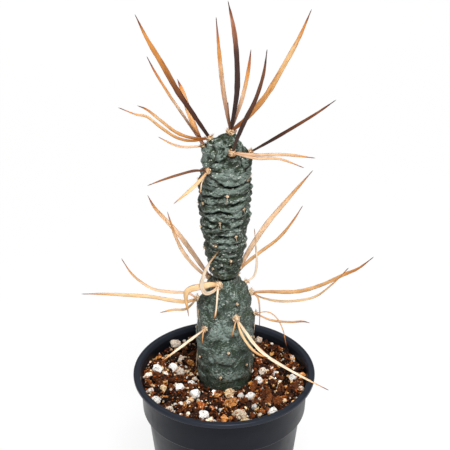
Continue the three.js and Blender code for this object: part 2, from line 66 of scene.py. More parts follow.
class Tone(Enum):
    """The run of colour along a spine's middle line, as (share of its length, colour) from foot to point."""

    CREAM = ((0, "e6c296"), (0.15, "f6e0c4"), (0.7, "f8e4ca"), (0.88, "e6b680"), (0.95, "a8683c"),
             (1, "4a2418"))
    STRAW = ((0, "d2a06a"), (0.2, "ebc898"), (0.65, "e8c290"), (0.86, "d69a56"), (0.95, "9c5828"),
             (1, "4a2010"))
    HONEY = ((0, "c08850"), (0.25, "dcac76"), (0.6, "d6a268"), (0.85, "c88440"), (0.95, "8e4c20"),
             (1, "3a1c0e"))
    PEACH = ((0, "cc9c78"), (0.2, "e8c4a2"), (0.65, "e4bc92"), (0.85, "d69852"), (0.94, "985224"),
             (1, "361810"))
    AMBER = ((0, "6a3c20"), (0.15, "b06c2c"), (0.4, "d8a060"), (0.7, "efc48c"), (0.88, "dc8f3c"),
             (0.95, "7c3408"), (1, "260e0a"))
    BRONZE = ((0, "7a5c50"), (0.2, "a47c64"), (0.45, "e0bc98"), (0.65, "dfa05c"), (0.86, "b8661e"),
              (0.94, "6e2c08"), (1, "240e0a"))
    RUSSET = ((0, "2e1a14"), (0.3, "4e2a1a"), (0.45, "7c4a24"), (0.6, "b87838"), (0.84, "dc9644"),
              (0.94, "7c3808"), (1, "2a100c"))
    UMBER = ((0, "2a1a16"), (0.35, "3e2620"), (0.62, "4a2a20"), (0.74, "a06c50"), (0.86, "c48a6a"),
             (0.94, "743410"), (1, "240c0a"))
    COCOA = ((0, "4a3428"), (0.25, "3a2218"), (0.5, "5c3620"), (0.8, "8a5430"), (0.93, "5a280e"),
             (1, "240c0a"))
    CHESTNUT = ((0, "4a3024"), (0.3, "6c4630"), (0.7, "94643e"), (0.88, "b06c2e"), (1, "3c1a0c"))
    # Cushion colours, lumps first and the gaps between them last: the darker gaps are partly painted shade.
    WOOL = ((0, "fde6c0"), (1, "7c4218"))
    FELT = ((0, "fbe0b8"), (1, "84441a"))


class Rock(Enum):
    """The grains of the potting mix."""

    PERLITE = "perlite"
    PUMICE = "pumice"
    CHIP = "orange_chip"
    BARK = "bark"


def linear(colour: str) -> np.ndarray:
    """The linear red, green, blue and alpha of a screen colour written as six hex digits."""
    screen = np.array([int(colour[i:i + 2], 16) / 255 for i in (0, 2, 4)])
    light = np.where(screen <= 0.04045, screen / 12.92, ((screen + 0.055) / 1.055) ** 2.4)
    return np.append(light, 1.0)


def shades(tone: Tone, share: np.ndarray) -> np.ndarray:
    """The colour of a tone at each share of the length, one row of red, green, blue and alpha for each."""
    places = [place for place, _ in tone.value]
    stops = np.array([linear(colour) for _, colour in tone.value])
    return np.stack([np.interp(share, places, stops[:, channel]) for channel in range(4)], axis=-1)


def hashed(cells: np.ndarray, seed: int) -> np.ndarray:
    """A fixed number from 0 to 1 for each cell, by multiplying and shifting its three whole numbers."""
    cells = cells.astype(np.int64)
    mixed = cells[..., 0] * 73856093 ^ cells[..., 1] * 19349663 ^ cells[..., 2] * 83492791
    mixed ^= seed * 2654435761
    mixed &= 0xFFFFFFFF
    mixed = ((mixed ^ (mixed >> 15)) * 0x2C1B3C6D) & 0xFFFFFFFF
    mixed = ((mixed ^ (mixed >> 12)) * 0x297A2D39) & 0xFFFFFFFF
    return ((mixed ^ (mixed >> 15)) & 0xFFFFFF) / 0xFFFFFF


def lumps(points: np.ndarray, size: float, seed: int) -> np.ndarray:
    """Smooth noise from -1 to 1: the corner values of a cubic lattice, blended by a fifth power ease.

    Args:
        points: Places, one row of three for each.
        size: Width of a lattice cell.
        seed: Picks another pattern.

    Returns:
        One value for each point.
    """
    scaled = points / size
    base = np.floor(scaled)
    part = scaled - base
    ease = part ** 3 * (part * (part * 6 - 15) + 10)
    total = np.zeros(points.shape[:-1])
    for corner in itertools.product((0, 1), repeat=3):
        weight = np.prod(np.where(corner, ease, 1 - ease), axis=-1)
        total += weight * hashed(base + corner, seed)
    return 2 * total - 1


def layered(points: np.ndarray, size: float, seed: int, octaves: int = 3) -> np.ndarray:
    """Noise in octaves, each half the size and half the height of the one before."""
    return sum(lumps(points, size / 2 ** i, seed + i) / 2 ** i for i in range(octaves))


def cells(points: np.ndarray, size: float, seed: int) -> tuple[np.ndarray, np.ndarray]:
    """Distances to the nearest and second nearest of points strewn one to a cubic cell, in cell widths."""
    scaled = points / size
    base = np.floor(scaled)
    nearest = np.full(points.shape[:-1], 9.0)
    second = nearest.copy()
    for step in itertools.product((-1, 0, 1), repeat=3):
        cell = base + step
        spot = cell + np.stack([hashed(cell, seed + axis) for axis in range(3)], axis=-1)
        distance = np.linalg.norm(spot - scaled, axis=-1)
        second = np.minimum(second, np.maximum(nearest, distance))
        nearest = np.minimum(nearest, distance)
    return nearest, second


def bell(distance: np.ndarray, width: float) -> np.ndarray:
    """A bell curve of 1 at no distance: e to the power of minus the square of the distance in widths."""
    return np.exp(-((distance / width) ** 2))


def circle(sides: int) -> np.ndarray:
    """Level directions evenly round from the front, one row of right and back for each."""
    turn = np.arange(sides) / sides * 2 * np.pi
    return np.stack([np.sin(turn), -np.cos(turn)], axis=-1)


def spline(points: np.ndarray, share: np.ndarray, free_ends: bool) -> np.ndarray:
    """Points of a uniform Catmull-Rom curve: cubic spans whose end slopes are half the chord across them.

    Args:
        points: The points that the curve passes through.
        share: Places along it from 0 to 1, with the same share for each span.
        free_ends: Whether the end chords reach to mirrored points, and not to the end points themselves.

    Returns:
        One row for each share.
    """
    points = np.asarray(points, float)
    mirrored = (2 * points[:1] - points[1:2], 2 * points[-1:] - points[-2:-1])
    ends = mirrored if free_ends else (points[:1], points[-1:])
    padded = np.vstack([ends[0], points, ends[1]])
    place = np.clip(share, 0, 1) * (len(points) - 1)
    span = np.minimum(place.astype(int), len(points) - 2)
    w = (place - span)[..., None]
    before, start, end, after = (padded[span + i] for i in range(4))
    slope_in, slope_out = (end - before) / 2, (after - start) / 2
    cubic = 2 * start - 2 * end + slope_in + slope_out
    square = -3 * start + 3 * end - 2 * slope_in - slope_out
    return cubic * w ** 3 + square * w ** 2 + slope_in * w + start


def capped(values: np.ndarray) -> np.ndarray:
    """Values by ring and side as one row for each vertex, and after them those of the two closing points."""
    return np.vstack([values.reshape(-1, values.shape[-1]), values[0, :1], values[-1, :1]])


def unit(vectors: np.ndarray) -> np.ndarray:
    """The vectors at length 1."""
    return vectors / np.maximum(np.linalg.norm(vectors, axis=-1, keepdims=True), 1e-12)


@dataclass
class Surface:
    """A closed form in millimetres.

    Attributes:
        points: One row of three for each vertex.
        faces: Arrays of corner numbers, one row for each face, all of one array with as many corners.
        marks: Values that a material reads, one row for each vertex.
    """

    points: np.ndarray
    faces: list[np.ndarray]
    marks: dict[str, np.ndarray] = field(default_factory=dict)

    @staticmethod
    def joined(parts: "list[Surface]") -> "Surface":
        """All parts as one form, each with its corner numbers moved past those of the parts before it."""
        starts = np.cumsum([0] + [len(part.points) for part in parts])
        faces: dict[int, list[np.ndarray]] = {}
        for part, start in zip(parts, starts):
            for block in part.faces:
                faces.setdefault(block.shape[1], []).append(block + start)
        marks = {key: np.concatenate([part.marks[key] for part in parts]) for key in parts[0].marks}
        points = np.concatenate([part.points for part in parts])
        return Surface(points, [np.vstack(blocks) for blocks in faces.values()], marks)

    @staticmethod
    def rings(rings: np.ndarray, start: np.ndarray | None, end: np.ndarray | None) -> "Surface":
        """A tube through rings, closed by a point at each end, or with the last ring joined to the first.

        Args:
            rings: Points by ring, then round each ring.
            start: The point that closes the first ring, or None.
            end: The point that closes the last ring, or None.

        Returns:
            The form, with its faces outward where the rings go round counterclockwise seen from the end.
        """
        count, sides = rings.shape[:2]
        wrap = start is None
        row = np.arange(count if wrap else count - 1)[:, None]
        column = np.arange(sides)[None, :]
        after, above = (column + 1) % sides, (row + 1) % count
        low, high = row * sides, above * sides
        quads = np.stack([low + column, low + after, high + after, high + column], -1)
        points, faces = rings.reshape(-1, 3), [quads.reshape(-1, 4)]
        if not wrap:
            ring = np.arange(sides)
            turned = (ring + 1) % sides
            last = (count - 1) * sides
            pole = np.full(sides, count * sides)
            faces.append(np.vstack([
                np.stack([pole, turned, ring], -1), np.stack([pole + 1, last + ring, last + turned], -1),
            ]))
            points = np.vstack([points, start, end])
        return Surface(points, faces)

    def marked(self, **marks: np.ndarray) -> "Surface":
        """The same form with values for the materials to read."""
        self.marks.update(marks)
        return self

    def built(self, name: str, material: bpy.types.Material, slot: Slot,
              smooth: bool = True) -> bpy.types.Object:
        """The form as a piece of the plant.

        Args:
            name: The piece's name.
            material: Its finish.
            slot: The record's slot of that finish, which is not used.
            smooth: Whether its faces are shaded as one round surface.

        Returns:
            The piece, riding on the plant's body.
        """
        mesh = bpy.data.meshes.new(name)
        corners = np.concatenate([block.ravel() for block in self.faces])
        sizes = np.concatenate([np.full(len(block), block.shape[1]) for block in self.faces])
        mesh.vertices.add(len(self.points))
        mesh.vertices.foreach_set("co", (self.points * MM).astype(np.float32).ravel())
        mesh.loops.add(len(corners))
        mesh.loops.foreach_set("vertex_index", corners.astype(np.int32))
        mesh.polygons.add(len(sizes))
        mesh.polygons.foreach_set("loop_start", np.concatenate([[0], np.cumsum(sizes)[:-1]]).astype(np.int32))
        mesh.update(calc_edges=True)
        kinds = {1: ("FLOAT", "value"), 3: ("FLOAT_VECTOR", "vector"), 4: ("FLOAT_COLOR", "color")}
        for key, values in self.marks.items():
            kind, target = kinds[1 if values.ndim == 1 else values.shape[1]]
            attribute = mesh.attributes.new(key, kind, "POINT")
            attribute.data.foreach_set(target, values.astype(np.float32).ravel())
        mesh.polygons.foreach_set("use_smooth", np.full(len(sizes), smooth))
        mesh.materials.append(material)
        piece = bpy.data.objects.new(name, mesh)
        bpy.context.scene.collection.objects.link(piece)
        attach(piece, "root")
        log.info("%s: %d vertices, %d faces", name, len(self.points), len(sizes))
        return piece


class Wire:
    """A number socket of a material, on which Python's operators add Math nodes."""

    def __init__(self, shader: "Shader", socket: bpy.types.NodeSocket) -> None:
        """Keeps the material and the socket."""
        self.shader, self.socket = shader, socket

    def maths(self, operation: str, *values: "Wire | float") -> "Wire":
        """The result of a Math node on these values."""
        return self.shader.wire("ShaderNodeMath", {"operation": operation}, dict(enumerate(values)))

    def __add__(self, other: "Wire | float") -> "Wire":
        """The sum."""
        return self.maths("ADD", self, other)

    __radd__ = __add__

    def __sub__(self, other: "Wire | float") -> "Wire":
        """The difference."""
        return self.maths("SUBTRACT", self, other)

    def __rsub__(self, other: float) -> "Wire":
        """The difference from a number."""
        return self.maths("SUBTRACT", other, self)

    def __mul__(self, other: "Wire | float") -> "Wire":
        """The product."""
        return self.maths("MULTIPLY", self, other)

    __rmul__ = __mul__


Link = Wire | bpy.types.NodeSocket


class Shader:
    """A procedural material, with every pattern measured in millimetres."""

    def __init__(self, name: str) -> None:
        """Starts an empty material with one Principled shader."""
        self.material = bpy.data.materials.new(name)
        self.material.use_nodes = True
        self.tree = self.material.node_tree
        self.tree.nodes.clear()
        self.surface = self.tree.nodes.new("ShaderNodeBsdfPrincipled")
        output = self.tree.nodes.new("ShaderNodeOutputMaterial")
        self.tree.links.new(self.surface.outputs[0], output.inputs["Surface"])
        place = self.node("ShaderNodeTexCoord").outputs["Object"]
        scaled = {0: place, 3: 1 / MM}
        self.place = self.node("ShaderNodeVectorMath", {"operation": "SCALE"}, scaled).outputs[0]

    def feed(self, socket: bpy.types.NodeSocket, value: object) -> None:
        """Links a socket to a wire or another socket, or sets it to a colour, a vector or a number."""
        value = value.socket if isinstance(value, Wire) else value
        if isinstance(value, bpy.types.NodeSocket):
            self.tree.links.new(value, socket)
        else:
            colour = linear(value)[:len(socket.default_value)] if isinstance(value, str) else None
            socket.default_value = value if colour is None else colour

    def node(self, kind: str, settings: dict | None = None, sockets: dict | None = None) -> bpy.types.Node:
        """Adds a node.

        Args:
            kind: The node's type.
            settings: Its settings, which are set first.
            sockets: Values or links of its input sockets, by name or number.

        Returns:
            The node.
        """
        node = self.tree.nodes.new(kind)
        for key, value in (settings or {}).items():
            setattr(node, key, value)
        for key, value in (sockets or {}).items():
            self.feed(node.inputs[key], value)
        return node

    def wire(self, kind: str, settings: dict | None = None, sockets: dict | None = None,
             output: int | str = 0) -> Wire:
        """Adds a node and gives one of its outputs as a wire."""
        return Wire(self, self.node(kind, settings, sockets).outputs[output])

    def stretched(self, stretch: tuple[float, float, float],
                  vector: Link | None = None) -> bpy.types.NodeSocket:
        """The place, or another vector, multiplied axis by axis."""
        sockets = {0: vector or self.place, 1: stretch}
        return self.node("ShaderNodeVectorMath", {"operation": "MULTIPLY"}, sockets).outputs[0]

    def noise(self, size: float, detail: float = 2.0, vector: Link | None = None, rough: float = 0.5) -> Wire:
        """Soft noise around 0.5, with lumps of the given size."""
        sockets = {"Vector": vector or self.place, "Scale": 1 / size, "Detail": detail, "Roughness": rough}
        return self.wire("ShaderNodeTexNoise", None, sockets)

    def dots(self, size: float, feature: str = "F1", vector: Link | None = None,
             scatter: float = 1.0) -> Wire:
        """The distance to the nearest of strewn points, or to the edge between two of their cells."""
        sockets = {"Vector": vector or self.place, "Scale": 1 / size, "Randomness": scatter}
        return self.wire("ShaderNodeTexVoronoi", {"feature": feature}, sockets, "Distance")

    def band(self, value: Wire, low: float, high: float, start: float = 0.0, end: float = 1.0) -> Wire:
        """An eased step from start to end as the value goes from low to high."""
        settings = {"interpolation_type": "SMOOTHSTEP"}
        sockets = {"Value": value, "From Min": low, "From Max": high, "To Min": start, "To Max": end}
        return self.wire("ShaderNodeMapRange", settings, sockets)

    def mark(self, name: str) -> Wire:
        """A number kept on the mesh."""
        return self.wire("ShaderNodeAttribute", {"attribute_name": name}, None, "Fac")

    def tint(self, name: str, output: str = "Color") -> bpy.types.NodeSocket:
        """A colour or a vector kept on the mesh."""
        return self.node("ShaderNodeAttribute", {"attribute_name": name}).outputs[output]

    def mix(self, first: "Link | str", second: "Link | str", share: "Wire | float") -> bpy.types.NodeSocket:
        """The first colour where the share is 0 and the second where it is 1."""
        return self.node("ShaderNodeMix", {"data_type": "RGBA"}, {0: share, 6: first, 7: second}).outputs[2]

    def dimmed(self, colour: "Link | str", factor: Wire) -> bpy.types.NodeSocket:
        """A colour made darker or lighter by a factor."""
        return self.node("ShaderNodeVectorMath", {"operation": "SCALE"}, {0: colour, 3: factor}).outputs[0]

    def bump(self, height: Wire, depth: float,
             under: bpy.types.NodeSocket | None = None) -> bpy.types.NodeSocket:
        """A normal bent by a height from 0 to 1, whose full step is the given depth."""
        sockets = {"Height": height, "Distance": depth * MM, "Strength": 1.0}
        if under is not None:
            sockets["Normal"] = under
        return self.node("ShaderNodeBump", None, sockets).outputs[0]

    def done(self, **sockets: object) -> bpy.types.Material:
        """Feeds the surface's sockets, with _ for a blank in their names, and gives the material."""
        for key, value in sockets.items():
            self.feed(self.surface.inputs[key.replace("_", " ")], value)
        return self.material


@dataclass(frozen=True)
class PotFinish:
    """Satin charcoal plastic with a fine moulded grain, faint scuffs, a little dust and a painted highlight
    on the lip.
    """

    colour: str = "101216"
    scuffed: str = "1e2129"
    painted_lip_highlight: str = "2a2e36"
    sheen: str = "dce2ff"
    lip_foot: float = 87.2
    grain: float = 0.35
    grain_depth: float = 0.02

    def material(self) -> bpy.types.Material:
        """Scuffs are noise drawn out up the pot, the grain is fine noise in the bump and the lip is painted
        paler as a highlight.
        """
        shader = Shader("charcoal_plastic")
        cloudy = shader.band(shader.noise(14, 3), 0.35, 0.75)
        scuffs = shader.band(shader.noise(1.6, 3, shader.stretched((1, 1, 0.12))), 0.6, 0.8)
        colour = shader.mix(shader.mix(self.colour, self.scuffed, cloudy * 0.3), self.scuffed, scuffs * 0.35)
        height = shader.wire("ShaderNodeSeparateXYZ", None, {0: shader.place}, "Z")
        # Painted highlight: from the lip's foot up, the colour is mixed toward a paler one.
        colour = shader.mix(colour, self.painted_lip_highlight, shader.band(height, self.lip_foot, self.lip_foot + 0.8) * 0.8)
        grain = shader.noise(self.grain, 2)
        soft = shader.noise(9, 1)
        normal = shader.bump(soft, 0.12, shader.bump(grain, self.grain_depth))
        return shader.done(
            Base_Color=colour, Roughness=0.33 + cloudy * 0.1 + scuffs * 0.1, Specular_IOR_Level=0.2,
            Specular_Tint=self.sheen, Normal=normal)


@dataclass(frozen=True)
class SkinFinish:
    """Grey green skin: painted shade in its creases and below its areoles, a blue grey bloom on its ridges
    that is partly a painted highlight, and pale flecks that are partly painted glints.

    Attributes:
        body: The colour between hollows and ridges.
        bloom_and_highlight: The waxy colour of ridges, partly real bloom and partly a painted highlight on
            them.
        moss: The greener colour of some patches.
        hollow: The colour of the painted shade deep in the creases and in the ring below each areole.
        grain: Width of the fine papillae.
        grain_depth: How far the papillae stand out.
        speckle: How much the papillae show as pale specks, from 0 to 1.
        flecks: How much the pale flecks on the ridges show, from 0 to 1; they are partly painted glints.
        bloom_and_highlight_share: How much bloom, partly a painted highlight, the ridges have, from 0 to 1.
    """

    name: str
    body: str
    bloom_and_highlight: str
    moss: str
    hollow: str
    grain: float
    grain_depth: float
    speckle: float
    flecks: float
    bloom_and_highlight_share: float

    def material(self) -> bpy.types.Material:
        """The skin, whose large pattern follows the relief kept on the mesh: bloom, partly a painted
        highlight, on the ridges, and painted shade in the creases and in a ring below each areole.
        """
        shader = Shader(self.name)
        ridge, hollow, halo = shader.mark("ridge"), shader.mark("hollow"), shader.mark("halo")
        ring = shader.stretched((1, 1, 2.2))
        cloud = shader.noise(5.5, 3, ring)
        mottle = shader.noise(1.5, 3, ring, 0.7)
        fine = shader.noise(0.55, 2, None, 0.6)
        papillae = shader.dots(self.grain)
        colour = shader.mix(self.body, self.moss, shader.band(cloud, 0.44, 0.6))
        # Bloom on the ridges: partly real waxy bloom, partly a painted highlight where the ridges catch the
        # light.
        bloom_and_highlight_mask = shader.band(ridge * 1.5 + mottle * 3.2 + fine * 0.8, 2.85, 3.45) * self.bloom_and_highlight_share
        colour = shader.mix(colour, self.bloom_and_highlight, bloom_and_highlight_mask)
        colour = shader.dimmed(colour, mottle * 1.9 + fine * 0.8 - 0.35)
        tips = shader.band(papillae, 0.4, 0.14) * shader.band(mottle, 0.38, 0.6)
        colour = shader.mix(colour, self.bloom_and_highlight, tips * self.speckle)
        # Painted shade: the creases and the ring below each areole are darkened toward the shade colour.
        colour = shader.mix(colour, self.hollow, shader.band(hollow, 0.2, 1) * 0.75)
        colour = shader.mix(colour, self.hollow, halo * 0.95)
        # Pale flecks on the ridges: partly real flecks, partly painted glints.
        spots = shader.band(shader.dots(1.9, "F1", ring), 0.34, 0.15)
        spots = spots * shader.band(shader.noise(3.2, 1), 0.5, 0.58) * shader.band(ridge, 0.3, 0.6)
        colour = shader.mix(colour, "dcdcd2", spots * self.flecks)
        normal = shader.bump(mottle, 0.55, shader.bump(fine, 0.16))
        normal = shader.bump(shader.band(papillae, 0.5, 0.1), self.grain_depth, normal)
        rough = 0.36 + mottle * 0.16 + tips * 0.1
        return shader.done(Base_Color=colour, Roughness=rough, Specular_IOR_Level=0.42, Normal=normal)


@dataclass(frozen=True)
class PaperFinish:
    """Papery spine: the tone kept on the mesh, which fine fibres streak with the brown of its edges.

    Attributes:
        streak: Width of a fibre.
        lines: How brown the fibres are, from 0 to 1.
        edge: How brown the edges are, from 0 to 1.
        burnt: What red, green and blue are multiplied by in that brown.
    """

    name: str
    streak: float = 0.22
    lines: float = 0.5
    edge: float = 0.85
    burnt: tuple[float, float, float] = (0.55, 0.3, 0.14)

    def material(self) -> bpy.types.Material:
        """The fibres are noise on the mesh's vector of mm across, mm along and a number for each spine."""
        shader = Shader(self.name)
        fibre = shader.tint("fibre", "Vector")
        tone = shader.tint("tint")
        brown = shader.stretched(self.burnt, tone)
        fine = shader.noise(self.streak, 3, shader.stretched((1, 0.045, 1), fibre), 0.6)
        broad = shader.noise(0.7, 2, shader.stretched((1, 0.04, 1), fibre))
        blotch = shader.noise(3.2, 3, shader.stretched((2, 0.6, 1), fibre))
        streaks = (shader.band(fine, 0.5, 0.66) + shader.band(broad, 0.52, 0.68) * 0.8) * self.lines
        colour = shader.mix(tone, brown, streaks)
        rim = shader.band(shader.mark("edge") + (fine - 0.5) * 0.5, 0.68, 1.04)
        colour = shader.mix(colour, brown, rim * self.edge)
        colour = shader.dimmed(colour, 0.66 + blotch * 0.68)
        normal = shader.bump(fine, 0.1, shader.bump(broad, 0.14))
        rough = 0.42 + fine * 0.2
        return shader.done(Base_Color=colour, Roughness=rough, Specular_IOR_Level=0.35, Normal=normal)


@dataclass(frozen=True)
class WoolFinish:
    """Felted wool of the areoles: the tint kept on the mesh, broken by fine fibres."""

    name: str = "areole_wool"

    def material(self) -> bpy.types.Material:
        """The wool, with fine noise in colour and bump."""
        shader = Shader(self.name)
        fine = shader.noise(0.25, 3, None, 0.7)
        grain = shader.noise(0.8, 2)
        colour = shader.dimmed(shader.tint("tint"), 0.55 + fine * 0.5 + grain * 0.45)
        return shader.done(
            Base_Color=colour, Roughness=0.85, Specular_IOR_Level=0.15, Normal=shader.bump(fine, 0.15))


@dataclass(frozen=True)
class RockFinish:
    """A grain of the potting mix: its own tint, with stains, pits darkened partly by painted shade, and
    bright flecks.

    Attributes:
        stain: The colour of stains.
        hole: The colour of pits: partly dirt in them and partly painted shade.
        fleck: The colour of bright flecks.
        pit: Width of a pit.
        amount: How much is stained, from 0 to 1.
        bright: How much is flecked, from 0 to 1.
        stretch: How far the pattern is drawn out along the grain's fibres.
        rough: The surface's roughness.
        bump_depth: Height of the fine relief.
    """

    name: str
    stain: str
    hole: str
    fleck: str
    pit: float
    amount: float
    bright: float = 0.0
    stretch: float = 1.0
    rough: float = 0.85
    bump_depth: float = 0.3

    def material(self) -> bpy.types.Material:
        """The grain: pits are strewn dots, which the bump has too, and stains and flecks are noise. The pits'
        dark colour is partly painted shade.
        """
        shader = Shader(self.name)
        place = shader.stretched((1, self.stretch, 1))
        pits = shader.band(shader.dots(self.pit, "F1", place), 0.4, 0.16)
        pits = pits * shader.band(shader.noise(1.7, 2), 0.42, 0.58)
        cloud = shader.noise(1.5, 4, place, 0.65)
        other = shader.noise(1.1, 3, shader.stretched((1, 1, 1.3)), 0.6)
        fine = shader.noise(0.35, 3, place, 0.7)
        stained = 0.66 - 0.26 * self.amount
        stains = shader.band(cloud, stained, stained + 0.12)
        flecked = 0.68 - 0.22 * self.bright
        flecks = shader.band(other, flecked, flecked + 0.08) * min(1, 4 * self.bright)
        colour = shader.dimmed(shader.tint("tint"), 0.5 + fine)
        colour = shader.mix(colour, self.stain, stains * 0.9)
        colour = shader.mix(colour, self.fleck, flecks)
        # Pits darkened toward the hole colour: partly dirt, partly painted shade.
        colour = shader.mix(colour, self.hole, pits * 0.95)
        normal = shader.bump(fine - pits, self.bump_depth)
        return shader.done(Base_Color=colour, Roughness=self.rough, Specular_IOR_Level=0.15, Normal=normal)


@dataclass(frozen=True)
class FloorFinish:
    """The pale studio floor, a lit table whose glow leaves only faint shadows on it."""

    colour: str = "505050"
    light: str = "ffffff"
    glow: float = 0.9

    def material(self) -> bpy.types.Material:
        """A matt pale surface with an even glow."""
        shader = Shader("pale_floor")
        return shader.done(
            Base_Color=self.colour, Roughness=0.9, Emission_Color=self.light, Emission_Strength=self.glow)


@dataclass
class NurseryPot:
    """The round pot: a tapering body, a taller collar above a ledge, a rolled lip and five drain holes."""

    lip_radius: float = 52
    height: float = 89.8
    wall: float = 1.2
    floor: float = 1.8
    foot_radius: float = 37
    ledge_radius: float = 44.4
    ledge_height: float = 65.5
    collar_foot_radius: float = 46.9
    collar_foot_height: float = 67.5
    collar_top_radius: float = 47.9
    lip_width: float = 3.5
    lip_drop: float = 2.6
    drain_holes: int = 5
    drain_radius: float = 4.5
    drain_circle: float = 25
    drain_reach: float = 5
    drain_sides: int = 32
    sides: int = 220
    finish: PotFinish = PotFinish()

    def inner_radius(self, height: float) -> float:
        """The inner radius of the collar at a height."""
        top = self.height - self.lip_drop
        heights, radii = [self.collar_foot_height, top], [self.collar_foot_radius, self.collar_top_radius]
        return float(np.interp(height, heights, radii)) - self.wall

    def outline(self) -> np.ndarray:
        """The outline as rows of radius and height, from the underside's centre round to the floor's."""
        inner = self.lip_radius - self.lip_width
        collar_top = self.height - self.lip_drop
        corners = [
            (0, 0, 0), (self.foot_radius, 0, 1.5), (self.ledge_radius, self.ledge_height, 0.5),
            (self.collar_foot_radius, self.ledge_height + 0.5, 1.2),
            (self.collar_top_radius, collar_top, 0.5), (self.lip_radius - 0.15, collar_top, 0.8),
            (self.lip_radius, self.height, 1.25), (inner, self.height, 0.8),
            (self.collar_top_radius - self.wall, self.height - 4.5, 2),
            (self.collar_foot_radius - self.wall, self.collar_foot_height + 1, 1),
            (self.ledge_radius - self.wall, self.ledge_height, 0.8),
            (self.foot_radius - self.wall, self.floor, 0.8), (0, self.floor, 0),
        ]
        return rounded(corners)

    def build(self) -> None:
        """Turns the outline about the axis, cuts the drain holes and hides the plain pot."""
        outline = self.outline()
        inside = outline[1:-1]
        level = inside[:, None, :1] * circle(self.sides)[None]
        heights = np.broadcast_to(inside[:, None, 1:], (len(inside), self.sides, 1))
        rings = np.concatenate([level, heights], axis=-1)
        body = Surface.rings(rings, np.array([0, 0, outline[0, 1]]), np.array([0, 0, outline[-1, 1]]))
        piece = body.built("nursery_pot", self.finish.material(), Slot.POT)
        self.drain(piece)
        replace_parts(piece, "pot")

    def drain(self, piece: bpy.types.Object) -> None:
        """Cuts the drain holes, as cylinders through the floor, and leaves no modifier behind."""
        holes = []
        for i in range(self.drain_holes):
            angle = (i + 0.5) / self.drain_holes * 2 * math.pi
            middle = self.drain_circle * np.array([math.cos(angle), math.sin(angle)])
            edge = middle + self.drain_radius * circle(self.drain_sides)
            ends = (-self.drain_reach, self.drain_reach)
            rings = np.stack([np.column_stack([edge, np.full(len(edge), height)]) for height in ends])
            holes.append(Surface.rings(rings, np.append(middle, ends[0]), np.append(middle, ends[1])))
        cutter = Surface.joined(holes).built("drain_cutter", piece.data.materials[0], Slot.POT)
        cut = piece.modifiers.new("drain", "BOOLEAN")
        cut.operation, cut.object, cut.solver = "DIFFERENCE", cutter, "EXACT"
        done = bpy.data.meshes.new_from_object(piece.evaluated_get(bpy.context.evaluated_depsgraph_get()))
        piece.modifiers.clear()
        piece.data = done
        bpy.data.objects.remove(cutter)


def rounded(corners: list[tuple[float, float, float]], steps: int = 6) -> np.ndarray:
    """An outline whose corners are arcs.

    Args:
        corners: Radius, height and corner radius of each corner.
        steps: Spans of each arc.

    Returns:
        Rows of radius and height. An arc is a quadratic curve from the cut on one side to the other cut,
        pulled to the corner.
    """
    spots = np.array([corner[:2] for corner in corners], float)
    rows = [spots[:1]]
    for before, spot, after, (_, _, radius) in zip(spots, spots[1:], spots[2:], corners[1:-1]):
        back, ahead = before - spot, after - spot
        reach = min(radius, 0.45 * np.linalg.norm(back), 0.45 * np.linalg.norm(ahead))
        start, end = spot + unit(back) * reach, spot + unit(ahead) * reach
        w = np.linspace(0, 1, steps + 1)[:, None]
        rows.append((1 - w) ** 2 * start + 2 * w * (1 - w) * spot + w ** 2 * end)
    return np.vstack(rows + [spots[-1:]])


# The stem's axis as (right, back, height), and the relief that the skin shares with its solid
STEM_AXIS = ((0.4, 2.5, 73), (0.4, 2.5, 120), (0.4, 3.6, 151), (0.3, 3.6, 200), (1.1, 3.6, 225),
             (3.7, 3.6, 239))
SOIL_LEVEL = 84.0
FRONT = np.array([0, -0.88, 0.48])
TUBERCLE_REACH = 5.5
TUBERCLE_DROP = 1.5
SMALL_TUBERCLE_REACH = 4.5
SMALL_SWELL = 0.5
LEAST_RADIUS = 4.0
SMOOTH_END = 6.0
CUSHION_LIFT = 0.4

# The painted shade round a small and a large areole: how far below it the ring of shade lies, and how far it
# reaches
SMALL_AREOLE_SHADE = (0.5, 1.5)
LARGE_AREOLE_SHADE = (1.0, 2.5)


def axis_at(height: np.ndarray) -> tuple[np.ndarray, np.ndarray]:
    """How far right and back the stem's axis is at each height."""
    right, back, up = np.array(STEM_AXIS).T
    return np.interp(height, up, right), np.interp(height, up, back)


def off_line(around: np.ndarray, line: float, radius: float | np.ndarray) -> np.ndarray:
    """How far round the stem places are from an upright line, in millimetres to its right.

    Args:
        around: Degrees round from the front.
        line: Degrees round of the line.
        radius: Radius that turns degrees into millimetres.

    Returns:
        The way round that is shorter, so at most half the girth.
    """
    return np.radians((around - line + 540) % 360 - 180) * radius


def ball(level: int) -> tuple[np.ndarray, np.ndarray]:
    """The directions and triangles of an icosahedron's sphere, split the given number of times less one."""
    work = bmesh.new()
    bmesh.ops.create_icosphere(work, subdivisions=level, radius=1.0)
    mesh = bpy.data.meshes.new("ball")
    work.to_mesh(mesh)
    work.free()
    directions = np.empty(len(mesh.vertices) * 3)
    triangles = np.empty(len(mesh.polygons) * 3, int)
    mesh.vertices.foreach_get("co", directions)
    mesh.polygons.foreach_get("vertices", triangles)
    bpy.data.meshes.remove(mesh)
    return unit(directions.reshape(-1, 3)), triangles.reshape(-1, 3)


